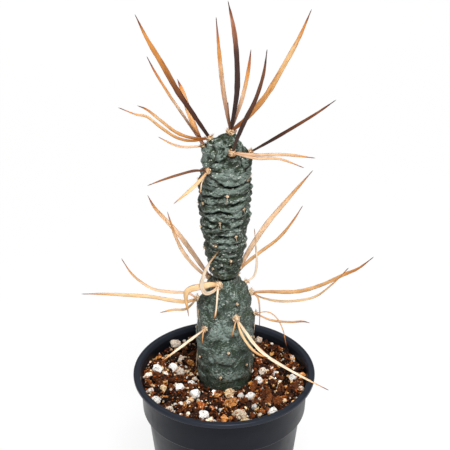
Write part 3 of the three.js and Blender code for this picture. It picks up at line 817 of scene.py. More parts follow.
def turns(random: np.random.Generator, count: int, tilt: float | None) -> np.ndarray:
    """Random rotations as matrices, from unit quaternions.

    Args:
        random: Draws them.
        count: How many.
        tilt: How far the level axes tip in radians, or None for any turn at all.

    Returns:
        One matrix for each. A tipped one turns about the upright first, by half angles in w and z, and its x
        and y are small.
    """
    if tilt is None:
        quaternions = unit(random.normal(size=(count, 4)))
    else:
        half = random.uniform(-np.pi / 2, np.pi / 2, count)
        tips = 0.5 * tilt * random.normal(size=(2, count))
        quaternions = unit(np.stack([np.cos(half), *tips, np.sin(half)], axis=-1))
    w, x, y, z = quaternions.T
    return np.stack([
        np.stack([1 - 2 * (y * y + z * z), 2 * (x * y - z * w), 2 * (x * z + y * w)], -1),
        np.stack([2 * (x * y + z * w), 1 - 2 * (x * x + z * z), 2 * (y * z - x * w)], -1),
        np.stack([2 * (x * z - y * w), 2 * (y * z + x * w), 1 - 2 * (x * x + y * y)], -1),
    ], axis=1)


@dataclass(frozen=True)
class RockShape:
    """How the grains of one kind are broken.

    Attributes:
        level: Fineness of the ball that each is cut from.
        cuts: Planes that cut it.
        shallow: Nearest distance of a cut to the centre, in radii.
        stretch: Lowest and highest length of each axis, in radii.
        rough: Height of the noise on it, in radii.
        pits: Depth of round pits, in radii.
        tints: Colours that the grains are mixed from.
        tilt: How far the grains lie off the level in radians, or any way at all where it is None.
    """

    level: int
    cuts: int
    shallow: float
    stretch: tuple[tuple[float, float], tuple[float, float], tuple[float, float]]
    rough: float
    pits: float
    tints: tuple[str, ...]
    tilt: float | None = None

    def cut(self, random: np.random.Generator, centres: np.ndarray, radii: np.ndarray) -> Surface:
        """Grains at these places. Along each direction a grain reaches as far as the nearest of its cutting
        planes, which is the plane's distance over the cosine to its normal, and noise and pits are taken off.

        Args:
            random: Draws the cuts, sizes and turns.
            centres: Places of the grains.
            radii: Their sizes.

        Returns:
            All grains as one form, with a tint on each.
        """
        directions, triangles = ball(self.level)
        count = len(centres)
        normals = unit(random.normal(size=(count, self.cuts, 3)))
        depths = random.uniform(self.shallow, 1.0, (count, 1, self.cuts))
        cosines = np.einsum("vi,nki->nvk", directions, normals)
        reach = np.minimum(1.0, np.min(depths / np.maximum(cosines, 1e-3), axis=-1))
        apart = directions[None] + 17.0 * np.arange(count)[:, None, None]
        reach = reach * (1 + self.rough * layered(apart, 0.8, 5, 3))
        if self.pits:
            reach = reach - self.pits * bell(cells(apart, 0.42, 9)[0], 0.32)
        low, high = np.array(self.stretch).T
        lengths = random.uniform(low, high, (count, 3)) * radii[:, None]
        shaped = directions[None] * reach[..., None] * lengths[:, None]
        points = np.einsum("nij,nvj->nvi", turns(random, count, self.tilt), shaped) + centres[:, None]
        faces = triangles[None] + (np.arange(count) * len(directions))[:, None, None]
        palette = np.array([linear(tint) for tint in self.tints])
        tint = palette[random.integers(len(palette), size=count)] * random.uniform(0.6, 1.35, (count, 1))
        tint = np.repeat(tint, len(directions), axis=0)
        return Surface(points.reshape(-1, 3), [faces.reshape(-1, 3)], {"tint": tint})


@dataclass
class PottingMix:
    """The soil: a nearly black crumbly ground that fills the pot, whose tint is also painted shade in the
    gaps between grains, with bark, orange chips, pumice and perlite on it.

    Attributes:
        pot: The pot that it fills.
        large: Grains that show in the photo, as (right, back, radius) in millimetres for each kind.
        fill: Number and smallest and largest radius of the strewn grains of each kind.
        crumbs: Number of fine crumbs.
        crumb_reach: How far from the pot's axis the crumbs lie.
        crumb_clearance: How far from the stem's axis the crumbs start.
        grain_clearance: How far from the stem's axis the strewn grains start, before their own size.
        closeness: Share of two grains' radii that keeps them apart.
        tries: How often a place is drawn for one grain.
    """

    pot: NurseryPot
    hole_gap: float = 0.5
    foot_profile: tuple = ((0, 73), (6, 73.3), (11, 76), (13.6, 80), (15, 85), (16, 92))
    large: dict[Rock, list[tuple[float, float, float]]] = field(default_factory=lambda: {
        Rock.PERLITE: [
            (-38.8, 8.6, 2.7), (-29.5, 9.3, 2.4), (-25.3, -10.7, 2.6), (-18.6, -5, 2), (-16.2, -17.8, 3),
            (-38, -23.4, 3), (-27.2, -25.6, 1.1), (-23, -25.9, 1.1), (-11.3, -35.5, 3), (-1.6, -31.9, 1.4),
            (-5.7, -14.8, 1.3), (9.5, -18.5, 1.7), (14.7, -19.6, 2.7), (16.9, -27.7, 1.8), (26.6, -33.2, 2.8),
            (19.6, -4.5, 2.4), (29.3, 4, 1.6), (27.6, 8.5, 1), (39, -0.8, 2.4)],
        Rock.PUMICE: [
            (2.7, -16.6, 2.8), (-28.8, 31.5, 3.1), (-25.2, 4.5, 2.6), (-33.9, 4.7, 1.4), (-43.4, 0.2, 2.6),
            (-41.7, -13.5, 2), (-40.9, -7.1, 1.3), (-34.4, -11.2, 2.1), (-19, 4.2, 1.4), (-16.6, -1.4, 1.3),
            (-30.2, -31.9, 2.7), (-19.8, -24, 1.3), (-19.6, -35.2, 1.7), (-7.6, -41.8, 2.4),
            (8.4, -35.5, 3.7), (11.7, -42, 2.6), (19.5, -35.9, 1.8), (22.7, 5.6, 2.3), (40.3, 20, 1.7),
            (20.9, 38.5, 2.4), (-25.3, 17.9, 2.3), (26.9, -1.3, 1.7), (31.8, -7.8, 1.4), (43.6, -11.3, 1.7),
            (34.1, -22.4, 1.4), (-24.4, -36.3, 1.7)],
        Rock.CHIP: [
            (-33.5, -18.7, 1.8), (-12.9, -26.6, 2.4), (-6.9, -28.9, 1.8), (-0.2, -40.8, 2.6),
            (4.4, -24.7, 3.7), (-4.1, -18.6, 2.1), (20.7, 15.8, 2.4), (-19.2, 14.6, 2.3), (44.4, 2.1, 2),
            (40.1, -21.4, 1.7)],
        Rock.BARK: [
            (27, 13.9, 2.8), (13.6, -28.4, 2.8), (21.7, -17.6, 2.8), (15.6, -36.4, 2.3), (-21.4, -17.1, 2.4),
            (-19.6, -9.9, 2.3), (30, -24, 3), (-30, -4, 2.8)],
    })
    fill: dict[Rock, tuple[int, float, float]] = field(default_factory=lambda: {
        Rock.BARK: (330, 1.5, 3.6), Rock.CHIP: (240, 1.1, 2.9), Rock.PUMICE: (110, 0.9, 2.1),
        Rock.PERLITE: (55, 0.8, 1.6)})
    crumbs: int = 2600
    crumb_reach: float = 46.0
    crumb_clearance: float = 16.0
    grain_clearance: float = 15.4
    closeness: float = 0.72
    tries: int = 12
    shapes: dict[Rock, tuple[RockShape, RockShape]] = field(default_factory=lambda: {
        Rock.PERLITE: (
            RockShape(4, 6, 0.76, ((1.0, 1.18), (0.95, 1.1), (0.85, 1.05)), 0.2, 0.14,
                      ("f2efea", "e9e5de", "f8f6f2")),
            RockShape(2, 6, 0.7, ((0.9, 1.1), (0.8, 1), (0.7, 1)), 0.2, 0, ("f0ece6", "ddd6cb"))),
        Rock.PUMICE: (
            RockShape(4, 8, 0.66, ((0.95, 1.2), (0.85, 1.05), (0.75, 0.95)), 0.3, 0.1,
                      ("f4e4c8", "f6ead8", "ecd2a6", "faf2e6")),
            RockShape(2, 8, 0.58, ((0.9, 1.25), (0.8, 1), (0.6, 0.9)), 0.28, 0,
                      ("ecd2a8", "f4e6ce", "dca868", "f0dab4"))),
        Rock.CHIP: (
            RockShape(4, 9, 0.5, ((1.05, 1.3), (0.8, 1.05), (0.55, 0.8)), 0.3, 0.06,
                      ("b8602a", "a4522a", "d08644"), 0.5),
            RockShape(2, 9, 0.46, ((1, 1.6), (0.7, 1), (0.4, 0.7)), 0.24, 0,
                      ("a85a26", "8a4c22", "c8823c", "6e3a1a", "e4b068"), 0.6)),
        Rock.BARK: (
            RockShape(4, 9, 0.46, ((1.2, 1.5), (0.8, 1), (0.5, 0.75)), 0.26, 0,
                      ("4a2614", "2a160e", "643418"), 0.5),
            RockShape(2, 9, 0.42, ((1.1, 1.8), (0.7, 1), (0.4, 0.7)), 0.2, 0,
                      ("341a0f", "22120c", "532c16", "6e3c1c", "180d09", "3e2212"), 0.6)),
    })
    finishes: dict[Rock, RockFinish] = field(default_factory=lambda: {
        Rock.PERLITE: RockFinish("perlite", "b89c7e", "54463a", "ffffff", 0.8, 0.42, 0.3),
        Rock.PUMICE: RockFinish("pumice", "b4662c", "7a3f1a", "fff4e2", 1.0, 0.56, 0.4),
        Rock.CHIP: RockFinish("orange_chip", "40200f", "240f08", "f6d6a4", 0.8, 0.45, 0.5, 0.5),
        Rock.BARK: RockFinish("bark", "0c0705", "080504", "b86a34", 0.8, 0.5, 0.42, 0.35, 0.7),
    })

    def ground(self, right: np.ndarray, back: np.ndarray) -> np.ndarray:
        """The height of the crumbly ground: noise of three sizes about the soil's level."""
        place = np.stack([right, back, np.zeros_like(right)], axis=-1)
        return SOIL_LEVEL - 0.4 + 0.9 * layered(place, 5, 71, 4)

    def build(self) -> None:
        """Makes the ground, then the grains of each kind, then the crumbs."""
        bark = self.finishes[Rock.BARK].material()
        base = self.base()
        # The ground's nearly black tint is the dark soil and also painted shade in the gaps between the
        # grains.
        base.marked(tint=np.tile(linear("0a0504"), (len(base.points), 1)))
        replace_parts(base.built("soil_ground", bark, Slot.SOIL), "soil")
        random = np.random.default_rng(4107)
        taken = [np.array(spot) for spots in self.large.values() for spot in spots]
        others = [kind for kind in self.finishes if kind is not Rock.BARK]
        finishes = {kind: self.finishes[kind].material() for kind in others}
        finishes[Rock.BARK] = bark
        for kind, (count, small, big) in self.fill.items():
            strewn = self.strewn(random, taken, count, small, big)
            shown, filling = self.shapes[kind]
            parts = [self.placed(random, shown, np.array(self.large[kind]), 0.42)]
            parts.append(self.placed(random, filling, strewn, 0.2))
            grains, smooth = Surface.joined(parts), kind is Rock.PERLITE
            piece = grains.built(f"soil_{kind.value}", finishes[kind], Slot.SOIL, smooth)
            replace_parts(piece, "soil")
        self.strew_crumbs(random)

    def placed(self, random: np.random.Generator, shape: RockShape, spots: np.ndarray,
               lift: float) -> Surface:
        """Grains of one shape at rows of (right, back, radius), off the ground by a share of their size."""
        height = self.ground(spots[:, 0], spots[:, 1]) + lift * spots[:, 2]
        return shape.cut(random, np.column_stack([spots[:, :2], height]), spots[:, 2])

    def strewn(self, random: np.random.Generator, taken: list, count: int, small: float,
               big: float) -> np.ndarray:
        """Rows of (right, back, radius) drawn inside the pot, kept where they clear the stem and each other.

        Args:
            random: Draws the places.
            taken: Rows already placed, to which the new ones are added.
            count: How many are drawn.
            small: Least radius.
            big: Largest radius.

        Returns:
            The rows kept.
        """
        kept = []
        middle = np.array(STEM_AXIS[0][:2])
        for radius in np.sort(small + (big - small) * random.random(count) ** 1.6)[::-1]:
            others = np.array(taken)
            for _ in range(self.tries):
                reach = (self.pot.inner_radius(SOIL_LEVEL) - 0.95 * radius) * math.sqrt(random.random())
                angle = random.random() * 2 * math.pi
                spot = reach * np.array([math.cos(angle), math.sin(angle)])
                apart = np.linalg.norm(others[:, :2] - spot, axis=1)
                clear = (apart > self.closeness * (others[:, 2] + radius)).all()
                if clear and np.linalg.norm(spot - middle) > self.grain_clearance + 0.9 * radius:
                    taken.append(np.append(spot, radius))
                    kept.append(taken[-1])
                    break
        return np.array(kept)

    def strew_crumbs(self, random: np.random.Generator) -> None:
        """Fine crumbs anywhere between the stem and the wall: mostly bark, with bright chips among them."""
        reach = self.crumb_reach * np.sqrt(random.random(self.crumbs))
        angle = random.random(self.crumbs) * 2 * np.pi
        spots = np.stack([reach * np.cos(angle), reach * np.sin(angle)], axis=-1)
        away = np.linalg.norm(spots - np.array(STEM_AXIS[0][:2]), axis=1)
        spots = spots[away > self.crumb_clearance]
        radii = 0.35 + 0.75 * random.random(len(spots)) ** 2
        tints = ("241611", "3a2016", "5a2c18", "8a4422", "a04e1e", "b86a32", "e4aa66", "f4d8ac", "f4ece0",
                 "3f2418", "120a08")
        shape = RockShape(1, 6, 0.5, ((0.9, 1.6), (0.7, 1), (0.6, 0.9)), 0.2, 0, tints)
        height = self.ground(spots[:, 0], spots[:, 1]) + 0.25 + 0.9 * random.random(len(spots))
        crumbs = shape.cut(random, np.column_stack([spots, height]), radii)
        piece = crumbs.built("soil_crumbs", WoolFinish("crumbs").material(), Slot.SOIL, False)
        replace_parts(piece, "soil")

    def base(self) -> Surface:
        """The ground as a ring about the stem: up the wall of the stem's hole, out over the top as straight
        lines from the hole's edge to the pot's wall, down beside the wall and back in under the floor."""
        sides, steps = 360, 130
        around = circle(sides)
        middle = np.array(STEM_AXIS[0][:2])
        rim = self.pot.inner_radius(SOIL_LEVEL) - 0.25
        hole = [(radius + self.hole_gap, height - self.hole_gap) for radius, height in self.foot_profile[:5]]
        rows = [(middle + around * radius, np.full(sides, height)) for radius, height in hole[1:4]]
        edge = middle + around * (hole[4][0] - 0.2)
        for share in np.linspace(0, 1, steps):
            flat = edge + (around * rim - edge) * share
            rows.append((flat, self.ground(flat[:, 0], flat[:, 1])))
        foot = self.pot.foot_radius - self.pot.wall - 1
        ledge = self.pot.ledge_radius - self.pot.wall - 0.8
        low = self.pot.floor + 0.35
        inside = ((rim - 0.6, 70), (ledge, self.pot.ledge_height - 1), (foot, low), (hole[1][0], low))
        for radius, height in inside:
            rows.append((around * radius, np.full(sides, height)))
        rows.append((around * 1.0, np.full(sides, low)))
        rings = np.stack([np.column_stack([flat, height]) for flat, height in rows])
        return Surface.rings(rings[::-1], np.array([0, 0, low]), np.append(middle, hole[0][1]))


@dataclass(frozen=True)
class Areole:
    """An areole's place on its segment, how far its tubercle swells and how wide that swelling is."""

    height: float
    round: float
    swell: float = SMALL_SWELL
    reach: float = SMALL_TUBERCLE_REACH


@dataclass(frozen=True)
class Crease:
    """A dark fold in the skin.

    Attributes:
        line: Degrees round and height of each point that it runs through.
        depth: How deep it is.
    """

    line: tuple[tuple[float, float], ...]
    depth: float = 0.9

    def nearness(self, around: np.ndarray, height: np.ndarray,
                 radius: float) -> tuple[np.ndarray, np.ndarray]:
        """How far places of the skin, laid out flat, are from the line.

        Args:
            around: Degrees round from the front.
            height: Heights.
            radius: Radius that turns degrees into millimetres.

        Returns:
            The distance in millimetres, and the share of the depth there, which falls to none at both ends.
        """
        spots = np.array(self.line, float)
        spots[:, 0] = np.radians(spots[:, 0] - self.line[0][0]) * radius
        across = off_line(around, self.line[0][0], radius)
        steps = np.diff(spots, axis=0)
        lengths = np.hypot(steps[:, 0], steps[:, 1])
        distance = np.full_like(height, np.inf)
        run = np.zeros_like(height)
        for start, step, length, before in zip(spots, steps, lengths, np.cumsum(lengths) - lengths):
            right, up = across - start[0], height - start[1]
            part = np.clip((right * step[0] + up * step[1]) / length ** 2, 0, 1)
            gap = np.hypot(right - part * step[0], up - part * step[1])
            run = np.where(gap < distance, before + part * length, run)
            distance = np.minimum(distance, gap)
        share = run / lengths.sum()
        return distance, (4 * share * (1 - share)) ** 0.4


@dataclass(frozen=True)
class Bulge:
    """A swollen part of the skin: its height and degrees round, half its width and length, and its rise."""

    height: float
    round: float
    across: float
    along: float
    rise: float


@dataclass(frozen=True)
class Spine:
    """A papery spine: its width, the turn of its flat from the front, the points that it passes through,
    right, back and up from its areole, and its colours."""

    width: float
    turn: float
    path: tuple
    tone: Tone


@dataclass(frozen=True)
class Tuft:
    """The woolly cushion of one areole and its spines, which stand for one node."""

    name: str
    height: float
    round: float
    swell: float
    size: float
    spines: tuple[Spine, ...]


LOWER_TUFTS = (
    Tuft("spines_low_front", 148.3, -25, 1.3, 2.6, (
        Spine(2.6, -35, ((-3, -3.5, -1.5), (-7, -4, -2.5), (-9, -4.5, 1.5), (-9, -5, 6), (-6, -6, 15.8),
                         (0.5, -8, 27)), Tone.CREAM),
        Spine(3.6, 5, ((-4, -2.5, 2), (-10, -4, 1.5), (-15.5, -5, 0.5), (-18, -6, -3), (-16.5, -8, -15)),
              Tone.STRAW),
        Spine(1.1, 0, ((-0.5, -5, 0), (-1, -9, -6), (-2, -12, -12.5), (-3.5, -12.5, -13)), Tone.CREAM))),
    Tuft("spines_low_left", 134, -97, 2.9, 2.2, (
        Spine(2.1, 0, ((-6, -2, -1), (-15, -3.5, 1), (-26, -5.5, 4.5), (-38, -8, 7), (-51, -10, 9),
                       (-63, -12.5, 10.5)), Tone.STRAW),
        Spine(1.6, 0, ((-6, 2.5, 2), (-16, 4.5, 1.5), (-25, 6, 2.5), (-33, 8, 7), (-38, 9.5, 12),
                        (-42.5, 11.5, 19)), Tone.PEACH),
        Spine(1.4, -15, ((-6, -7, -2.5), (-13, -12, 0), (-20, -16.5, 1)), Tone.STRAW))),
    Tuft("spines_low_back_left", 146.4, -117, 2.1, 2, (
        Spine(2.6, 10, ((-4, 4, 4), (-10, 9, 11), (-17, 14, 19), (-24, 19, 25), (-31, 24, 31),
                        (-35, 27.5, 37)), Tone.PEACH),
        Spine(2, -20, ((-4, 1.5, 1.5), (-9.5, 4, 6), (-15, 7, 12.5), (-19, 10.5, 20), (-21.5, 13, 27),
                       (-23.5, 15.5, 33)), Tone.PEACH))),
    Tuft("spines_low_right", 136.8, 102, 2.7, 2.2, (
        Spine(2.1, 0, ((8.5, -1, 1), (25, -5, 3.5), (38, -8, 9.5), (50, -11, 18), (57.5, -13.5, 23.5),
                       (65, -16, 32)), Tone.HONEY),
        Spine(1.4, 20, ((6, -5, -0.5), (15, -8.5, -0.5), (25, -12, 2), (35, -15.5, 7), (44, -19.5, 18),
                        (51, -24, 30)), Tone.STRAW),
        Spine(0.9, 0, ((3.5, -4.5, -1), (4.5, -6.5, -8), (4.5, -7.5, -18)), Tone.HONEY))),
    Tuft("spines_low_right_upright", 142, 115, 2, 1.4, (
        Spine(1.3, 0, ((4.5, 1.5, 3), (6, 2, 10), (5.5, 2.5, 20), (4.5, 3.5, 32)), Tone.CREAM),)),
    Tuft("spines_low_back_right", 146, 140, 1.9, 2, (
        Spine(2.8, 0, ((6, 7, 9), (16.5, 14, 23.5), (29.5, 21.5, 37), (43, 29, 50.5)), Tone.PEACH),
        Spine(1.9, 15, ((5, 3, 5), (13.5, 6, 11), (23.5, 9, 18), (31, 12, 26.5), (37, 15, 35.5)),
              Tone.HONEY))),
    Tuft("spines_low_side_right", 125.5, 92, 1.8, 1.5, (
        Spine(1.2, 0, ((9, -4, -2), (19, -7.5, -1), (26, -10, 1), (30, -11.5, 1)), Tone.HONEY),
        Spine(0.7, 0, ((7, -1, 1.5), (12, -4, -0.5), (15.5, -8, -6), (17.5, -12.5, -14)), Tone.HONEY))),
    Tuft("spines_low_front_right", 131.2, 24, 1.8, 2.2, (
        Spine(1.9, 0, ((4.5, -3.5, -5.5), (10, -6.5, -12.5), (16.5, -9.5, -18), (25, -12.5, -22.5),
                       (37.5, -17.5, -27.5), (50.5, -22.5, -32)), Tone.CREAM),
        Spine(1.7, 20, ((3, -6, -6.5), (7.5, -10, -12), (12, -12.5, -15), (17.5, -15.5, -15.5)), Tone.STRAW),
        Spine(0.8, 0, ((-1, -4, -2.5), (-2.5, -5.5, -9)), Tone.HONEY))),
    Tuft("spines_low_front_left", 124, -40, 1.6, 1.8, (
        Spine(1.5, 0, ((-8.5, -7, -3), (-16, -13.5, -5.5), (-23.5, -20, -8)), Tone.CREAM),
        Spine(0.8, 0, ((-1, -3.5, -1), (-1.5, -5.5, -6.5)), Tone.HONEY))),
    Tuft("spines_low_back", 137, 176, 1.8, 2.2, (
        Spine(2.4, 70, ((1.5, 14, 4), (2.5, 30, 7), (3.5, 46, 5)), Tone.STRAW),
        Spine(1.8, 50, ((-2, 12, -2), (-5, 25, -9), (-7, 36, -19)), Tone.CREAM),
        Spine(1.2, 80, ((3, 10, -6), (6, 18, -14), (8, 24, -24)), Tone.HONEY))),
    Tuft("spines_low_back_side", 122, -158, 1.3, 1.9, (
        Spine(1.9, 60, ((-1, 13, -1), (-3, 27, -5), (-4, 40, -12)), Tone.CREAM),
        Spine(1, 60, ((1, 6, -4), (2, 11, -11)), Tone.STRAW))),
)
UPPER_TUFTS = (
    Tuft("spines_crown", 237.8, 0, 0, 2.4, (
        Spine(2.4, 0, ((-3.5, 4, 19), (-5.5, 8, 35.5), (-7.5, 12.5, 58)), Tone.BRONZE),
        Spine(2.9, 10, ((3, -2.5, 22), (3, -5, 41), (1.5, -7.5, 58), (-1.5, -9.5, 74)), Tone.UMBER),
        Spine(2.2, -10, ((6, 7, 15.5), (9, 12, 28), (10.5, 16.5, 39)), Tone.BRONZE),
        Spine(2.8, 0, ((8, -1.5, 8), (18, -3, 21.5), (26.5, -4.5, 38), (34, -6, 54), (39.5, -7.5, 69)),
              Tone.AMBER),
        Spine(0.9, 0, ((-1, -4, 10), (-1.5, -8, 20)), Tone.CHESTNUT))),
    Tuft("spines_top_left", 230.6, -106, 3.2, 2.4, (
        Spine(2.9, 0, ((-10.5, 2, 16), (-17, 3.5, 26), (-24, 5, 39), (-31.5, 6.5, 52.2), (-37.6, 8, 65.2)),
              Tone.RUSSET),
        Spine(1.7, -15, ((-9, -4, 2), (-17, -7, 6.5), (-24.5, -10.5, 14.5), (-31.3, -14, 22.2),
                         (-36.2, -16, 25.5)), Tone.AMBER),
        Spine(1.5, -20, ((-9, -6.5, 1.5), (-17, -10, 5), (-25, -13.5, 12.5), (-31.3, -17, 19.7),
                         (-37, -19, 22), (-45.3, -22, 27)), Tone.AMBER))),
    Tuft("spines_top_back_left", 225.5, -112, 1.8, 2, (
        Spine(1.5, 0, ((-10, 8, 13), (-17.5, 13.5, 22.5), (-25.5, 19, 34), (-30, 23, 41.5)), Tone.BRONZE),
        Spine(2.8, 0, ((-6.5, 10, 11), (-10.5, 16.5, 22), (-14, 21, 29.5)), Tone.AMBER),
        Spine(1.3, 0, ((-10, 2, -1.5), (-16.5, 3.5, -0.5), (-24, 5, 3)), Tone.PEACH))),
    Tuft("spines_top_front", 228.7, 14, 2, 2.2, (
        Spine(2.3, 10, ((3, -4, 11), (7, -8, 23), (11.5, -12, 35), (15, -17, 50), (16.5, -22.5, 65.5)),
              Tone.COCOA),
        Spine(1.8, 0, ((12.5, -4.5, 1), (27.5, -9.5, 3.5), (42, -14.5, 4)), Tone.PEACH),
        Spine(1.4, 0, ((12, -7.5, 0.5), (24, -13.5, 3), (36, -20.5, 1.5)), Tone.PEACH))),
    Tuft("spines_top_right", 224, 97, 2.9, 2, (
        Spine(1.8, 0, ((10.5, -3, 8), (22, -6, 17), (33.5, -8.5, 26), (43, -11, 34.5)), Tone.COCOA),
        Spine(0.7, 70, ((1, -7, 2.5), (-1, -12, 3)), Tone.STRAW))),
    Tuft("spines_mid_left", 219, -45, 1.2, 2, (
        Spine(1.4, 0, ((-7, -4.5, 2.5), (-15.5, -9.5, 2.5), (-23, -14, 2), (-30.5, -18.5, 1)), Tone.CHESTNUT),
        Spine(1.9, 0, ((-5, -6, -3.5), (-10, -10.5, -6.5), (-17.5, -16.5, -10.5)), Tone.STRAW),
        Spine(0.8, 0, ((-3, -4, -4), (-4, -6, -10)), Tone.CREAM))),
    Tuft("spines_top_back", 221, 172, 1.6, 2.1, (
        Spine(2.2, 70, ((2, 12, 1), (3.5, 24, -1), (4.5, 36, -6)), Tone.RUSSET),
        Spine(1.8, 50, ((-2, 11, -3), (-4, 21, -9), (-5, 29, -18)), Tone.PEACH))),
    Tuft("spines_mid_back", 209, -165, 1.2, 1.8, (
        Spine(1.6, 60, ((-2, 10, -1), (-3, 20, -5), (-4, 30, -12)), Tone.PEACH),
        Spine(0.9, 60, ((1.5, 5, -3), (2, 8, -9)), Tone.STRAW))),
)


def hair(start: np.ndarray, end: np.ndarray, width: float, tone: Tone) -> Surface:
    """A single hair: a three-sided needle that sags a little on its way.

    Args:
        start: Where it grows.
        end: Its point.
        width: Half its width at the foot.
        tone: Its colours from foot to point.

    Returns:
        The hair with its tint.
    """
    share = np.linspace(0, 1, 7)[:-1, None]
    along = unit(end - start)
    sag = np.array([0, 0, -0.06]) * np.linalg.norm(end - start)
    line = start + (end - start) * share + sag * 4 * share * (1 - share)
    first, second = upright(along)
    turn = np.arange(3) / 3 * 2 * np.pi
    ring = np.cos(turn)[:, None] * first + np.sin(turn)[:, None] * second
    rings = line[:, None] + ring[None] * (width * (1 - 0.8 * share))[..., None]
    tint = np.repeat(shades(tone, share[:, 0])[:, None], 3, axis=1)
    return Surface.rings(rings, line[0], end).marked(tint=capped(tint))


@dataclass
class StemSegment:
    """One segment of the stem: a turned profile with tubercles, furrows between them, folds and creases.

    Attributes:
        node: The node that it stands for.
        profile: Rows of radius and height, from its foot to its top.
        tufts: The tufts that grow on it.
        small: Height and degrees round of each small areole.
        creases: The folds across it that the photo shows.
        bulges: Its swollen parts between them.
        strewn_creases: How many more are strewn over its back, which the photo doesn't show.
        crease_depth: Deepest of those.
        crease_width: Half the width of a crease.
        fold_depth: Depth of its even folds.
        smooth_below: Height under which it has no relief.
        wrinkle: Height of the wrinkles.
        wrinkle_squash: How much flatter than wide the wrinkles are.
        roughness: Height of the finest relief.
    """

    node: str
    profile: tuple
    tufts: tuple[Tuft, ...]
    small: tuple[tuple[float, float], ...]
    creases: tuple[Crease, ...]
    bulges: tuple[Bulge, ...]
    strewn_creases: int
    crease_depth: float
    crease_width: float
    fold_depth: float
    smooth_below: float
    wrinkle: float
    wrinkle_squash: float
    roughness: float
    finish: SkinFinish
    seed: int
    slot: Slot
    long_bristles: tuple
    rows: int = 300
    sides: int = 300
    fold_pitch: float = 4.6
    furrow_depth: float = 0.9
    furrow_width: float = 2.2

    def __post_init__(self) -> None:
        """Lists all areoles, strews the further creases and measures the profile."""
        self.areoles = [Areole(t.height, t.round, t.swell, TUBERCLE_REACH) for t in self.tufts if t.swell > 0]
        self.areoles += [Areole(height, around) for height, around in self.small]
        shares = np.linspace(0, 1, 4001)
        self.shares, curve = shares, spline(self.profile, shares, False)
        self.heights = curve[:, 1]
        self.lengths = np.concatenate([[0], np.cumsum(np.linalg.norm(np.diff(curve, axis=0), axis=1))])
        random = np.random.default_rng(self.seed)
        low, high = self.smooth_below + 6, self.profile[-1][1] - 9
        strewn = []
        for i in range(self.strewn_creases):
            height = low + (high - low) * (i + random.random()) / self.strewn_creases
            reach = np.cumsum([random.uniform(70, 190), *random.uniform(9, 19, 4)])
            rise = height + np.cumsum(random.uniform(-1.0, 1.0, 5))
            line = tuple(zip(reach.tolist(), rise.tolist()))
            strewn.append(Crease(line, random.uniform(0.5, 1.0) * self.crease_depth))
        self.all_creases = (*self.creases, *strewn)

    def relief(self, radius: np.ndarray, height: np.ndarray, around: np.ndarray) -> np.ndarray:
        """The height of the skin over the plain profile, as the solid has it.

        Each tubercle is a bell over its areole. A furrow is a bell over the difference between the distances
        to the two nearest areoles. The folds are a cosine of the height, swayed by the angle.

        Args:
            radius: Radius of the profile.
            height: Height on it.
            around: Degrees round from the front.

        Returns:
            Millimetres outward.
        """
        swell = np.zeros_like(height)
        nearest = np.full_like(height, np.inf)
        second = nearest.copy()
        for areole in self.areoles:
            across = off_line(around, areole.round, np.maximum(radius, LEAST_RADIUS))
            distance = np.hypot(across, height - (areole.height - TUBERCLE_DROP))
            swell += areole.swell * bell(distance, areole.reach)
            second = np.minimum(second, np.maximum(nearest, distance))
            nearest = np.minimum(nearest, distance)
        furrow = self.furrow_depth * bell(second - nearest, self.furrow_width)
        sway = 0.25 * np.sin(np.radians(2 * around) + height / 9)
        fold = self.fold_depth * np.cos(2 * np.pi * (height / self.fold_pitch + sway))
        return self.ends(height) * (fold - furrow + swell)

    def ends(self, height: np.ndarray) -> np.ndarray:
        """How much of the relief stands at a height: none at the segment's two ends."""
        top = self.profile[-1][1]
        return np.clip(np.minimum(top - height, height - self.smooth_below) / SMOOTH_END, 0, 1)

    def detail(self, height: np.ndarray, around: np.ndarray) -> dict[str, np.ndarray]:
        """The finer relief. Each crease is a groove, a bell over the distance to its line, and the skin
        swells on both sides of it. Bulges are flat topped bells. Creases and bulges are bent by noise.
        Wrinkles are the size of noise drawn out round the stem, sharp in their valleys, and the finest
        relief is noise in octaves.

        Args:
            height: Heights on the profile.
            around: Degrees round from the front.

        Returns:
            The relief in millimetres, and from 0 to 1 how much painted shade each place gets in creases and
            wrinkle valleys, how high the ridge and how much painted shade it gets below an areole.
        """
        radius = max(spot[0] for spot in self.profile) * 0.94
        turn = np.radians(around)
        flat = np.stack([radius * np.sin(turn), -radius * np.cos(turn), height], axis=-1)
        bent = height + 0.55 * lumps(flat, 3.2, self.seed + 1) + 0.25 * lumps(flat, 1.3, self.seed + 2)
        groove = np.zeros_like(height)
        swell = np.zeros_like(height)
        for crease in self.all_creases:
            distance, share = crease.nearness(around, bent, radius)
            groove = np.maximum(groove, crease.depth * share * bell(distance, self.crease_width))
            side = distance / self.crease_width - 2.6
            swell = np.maximum(swell, 0.5 * crease.depth * share * bell(side, 1.6))
        groove = groove * np.clip(0.75 + 0.9 * lumps(flat, 4.0, self.seed + 8), 0.2, 1.1)
        for bulge in self.bulges:
            across = off_line(around, bulge.round, radius) / bulge.across
            distance = across ** 2 + ((bent - bulge.height) / bulge.along) ** 2
            swell = swell + bulge.rise * bell(distance, 1.0)
        ringed = flat * np.array([1, 1, self.wrinkle_squash])
        first, second = np.abs(lumps(ringed, 6.5, self.seed + 3)), np.abs(lumps(ringed, 3.4, self.seed + 4))
        third = np.abs(lumps(ringed, 1.7, self.seed + 5))
        wrinkles = self.wrinkle * (1.3 * first + 0.7 * second + 0.35 * third - 0.62)
        rough = self.roughness * layered(flat, 1.0, self.seed + 6, 2)
        # Painted shade in a ring below each areole.
        halo = np.zeros_like(height)
        for areole in self.areoles:
            drop, reach = SMALL_AREOLE_SHADE if areole.swell <= SMALL_SWELL else LARGE_AREOLE_SHADE
            offset = off_line(around, areole.round, radius)
            halo = np.maximum(halo, bell(np.hypot(offset, height - areole.height + drop), reach))
        raised = swell + wrinkles - groove
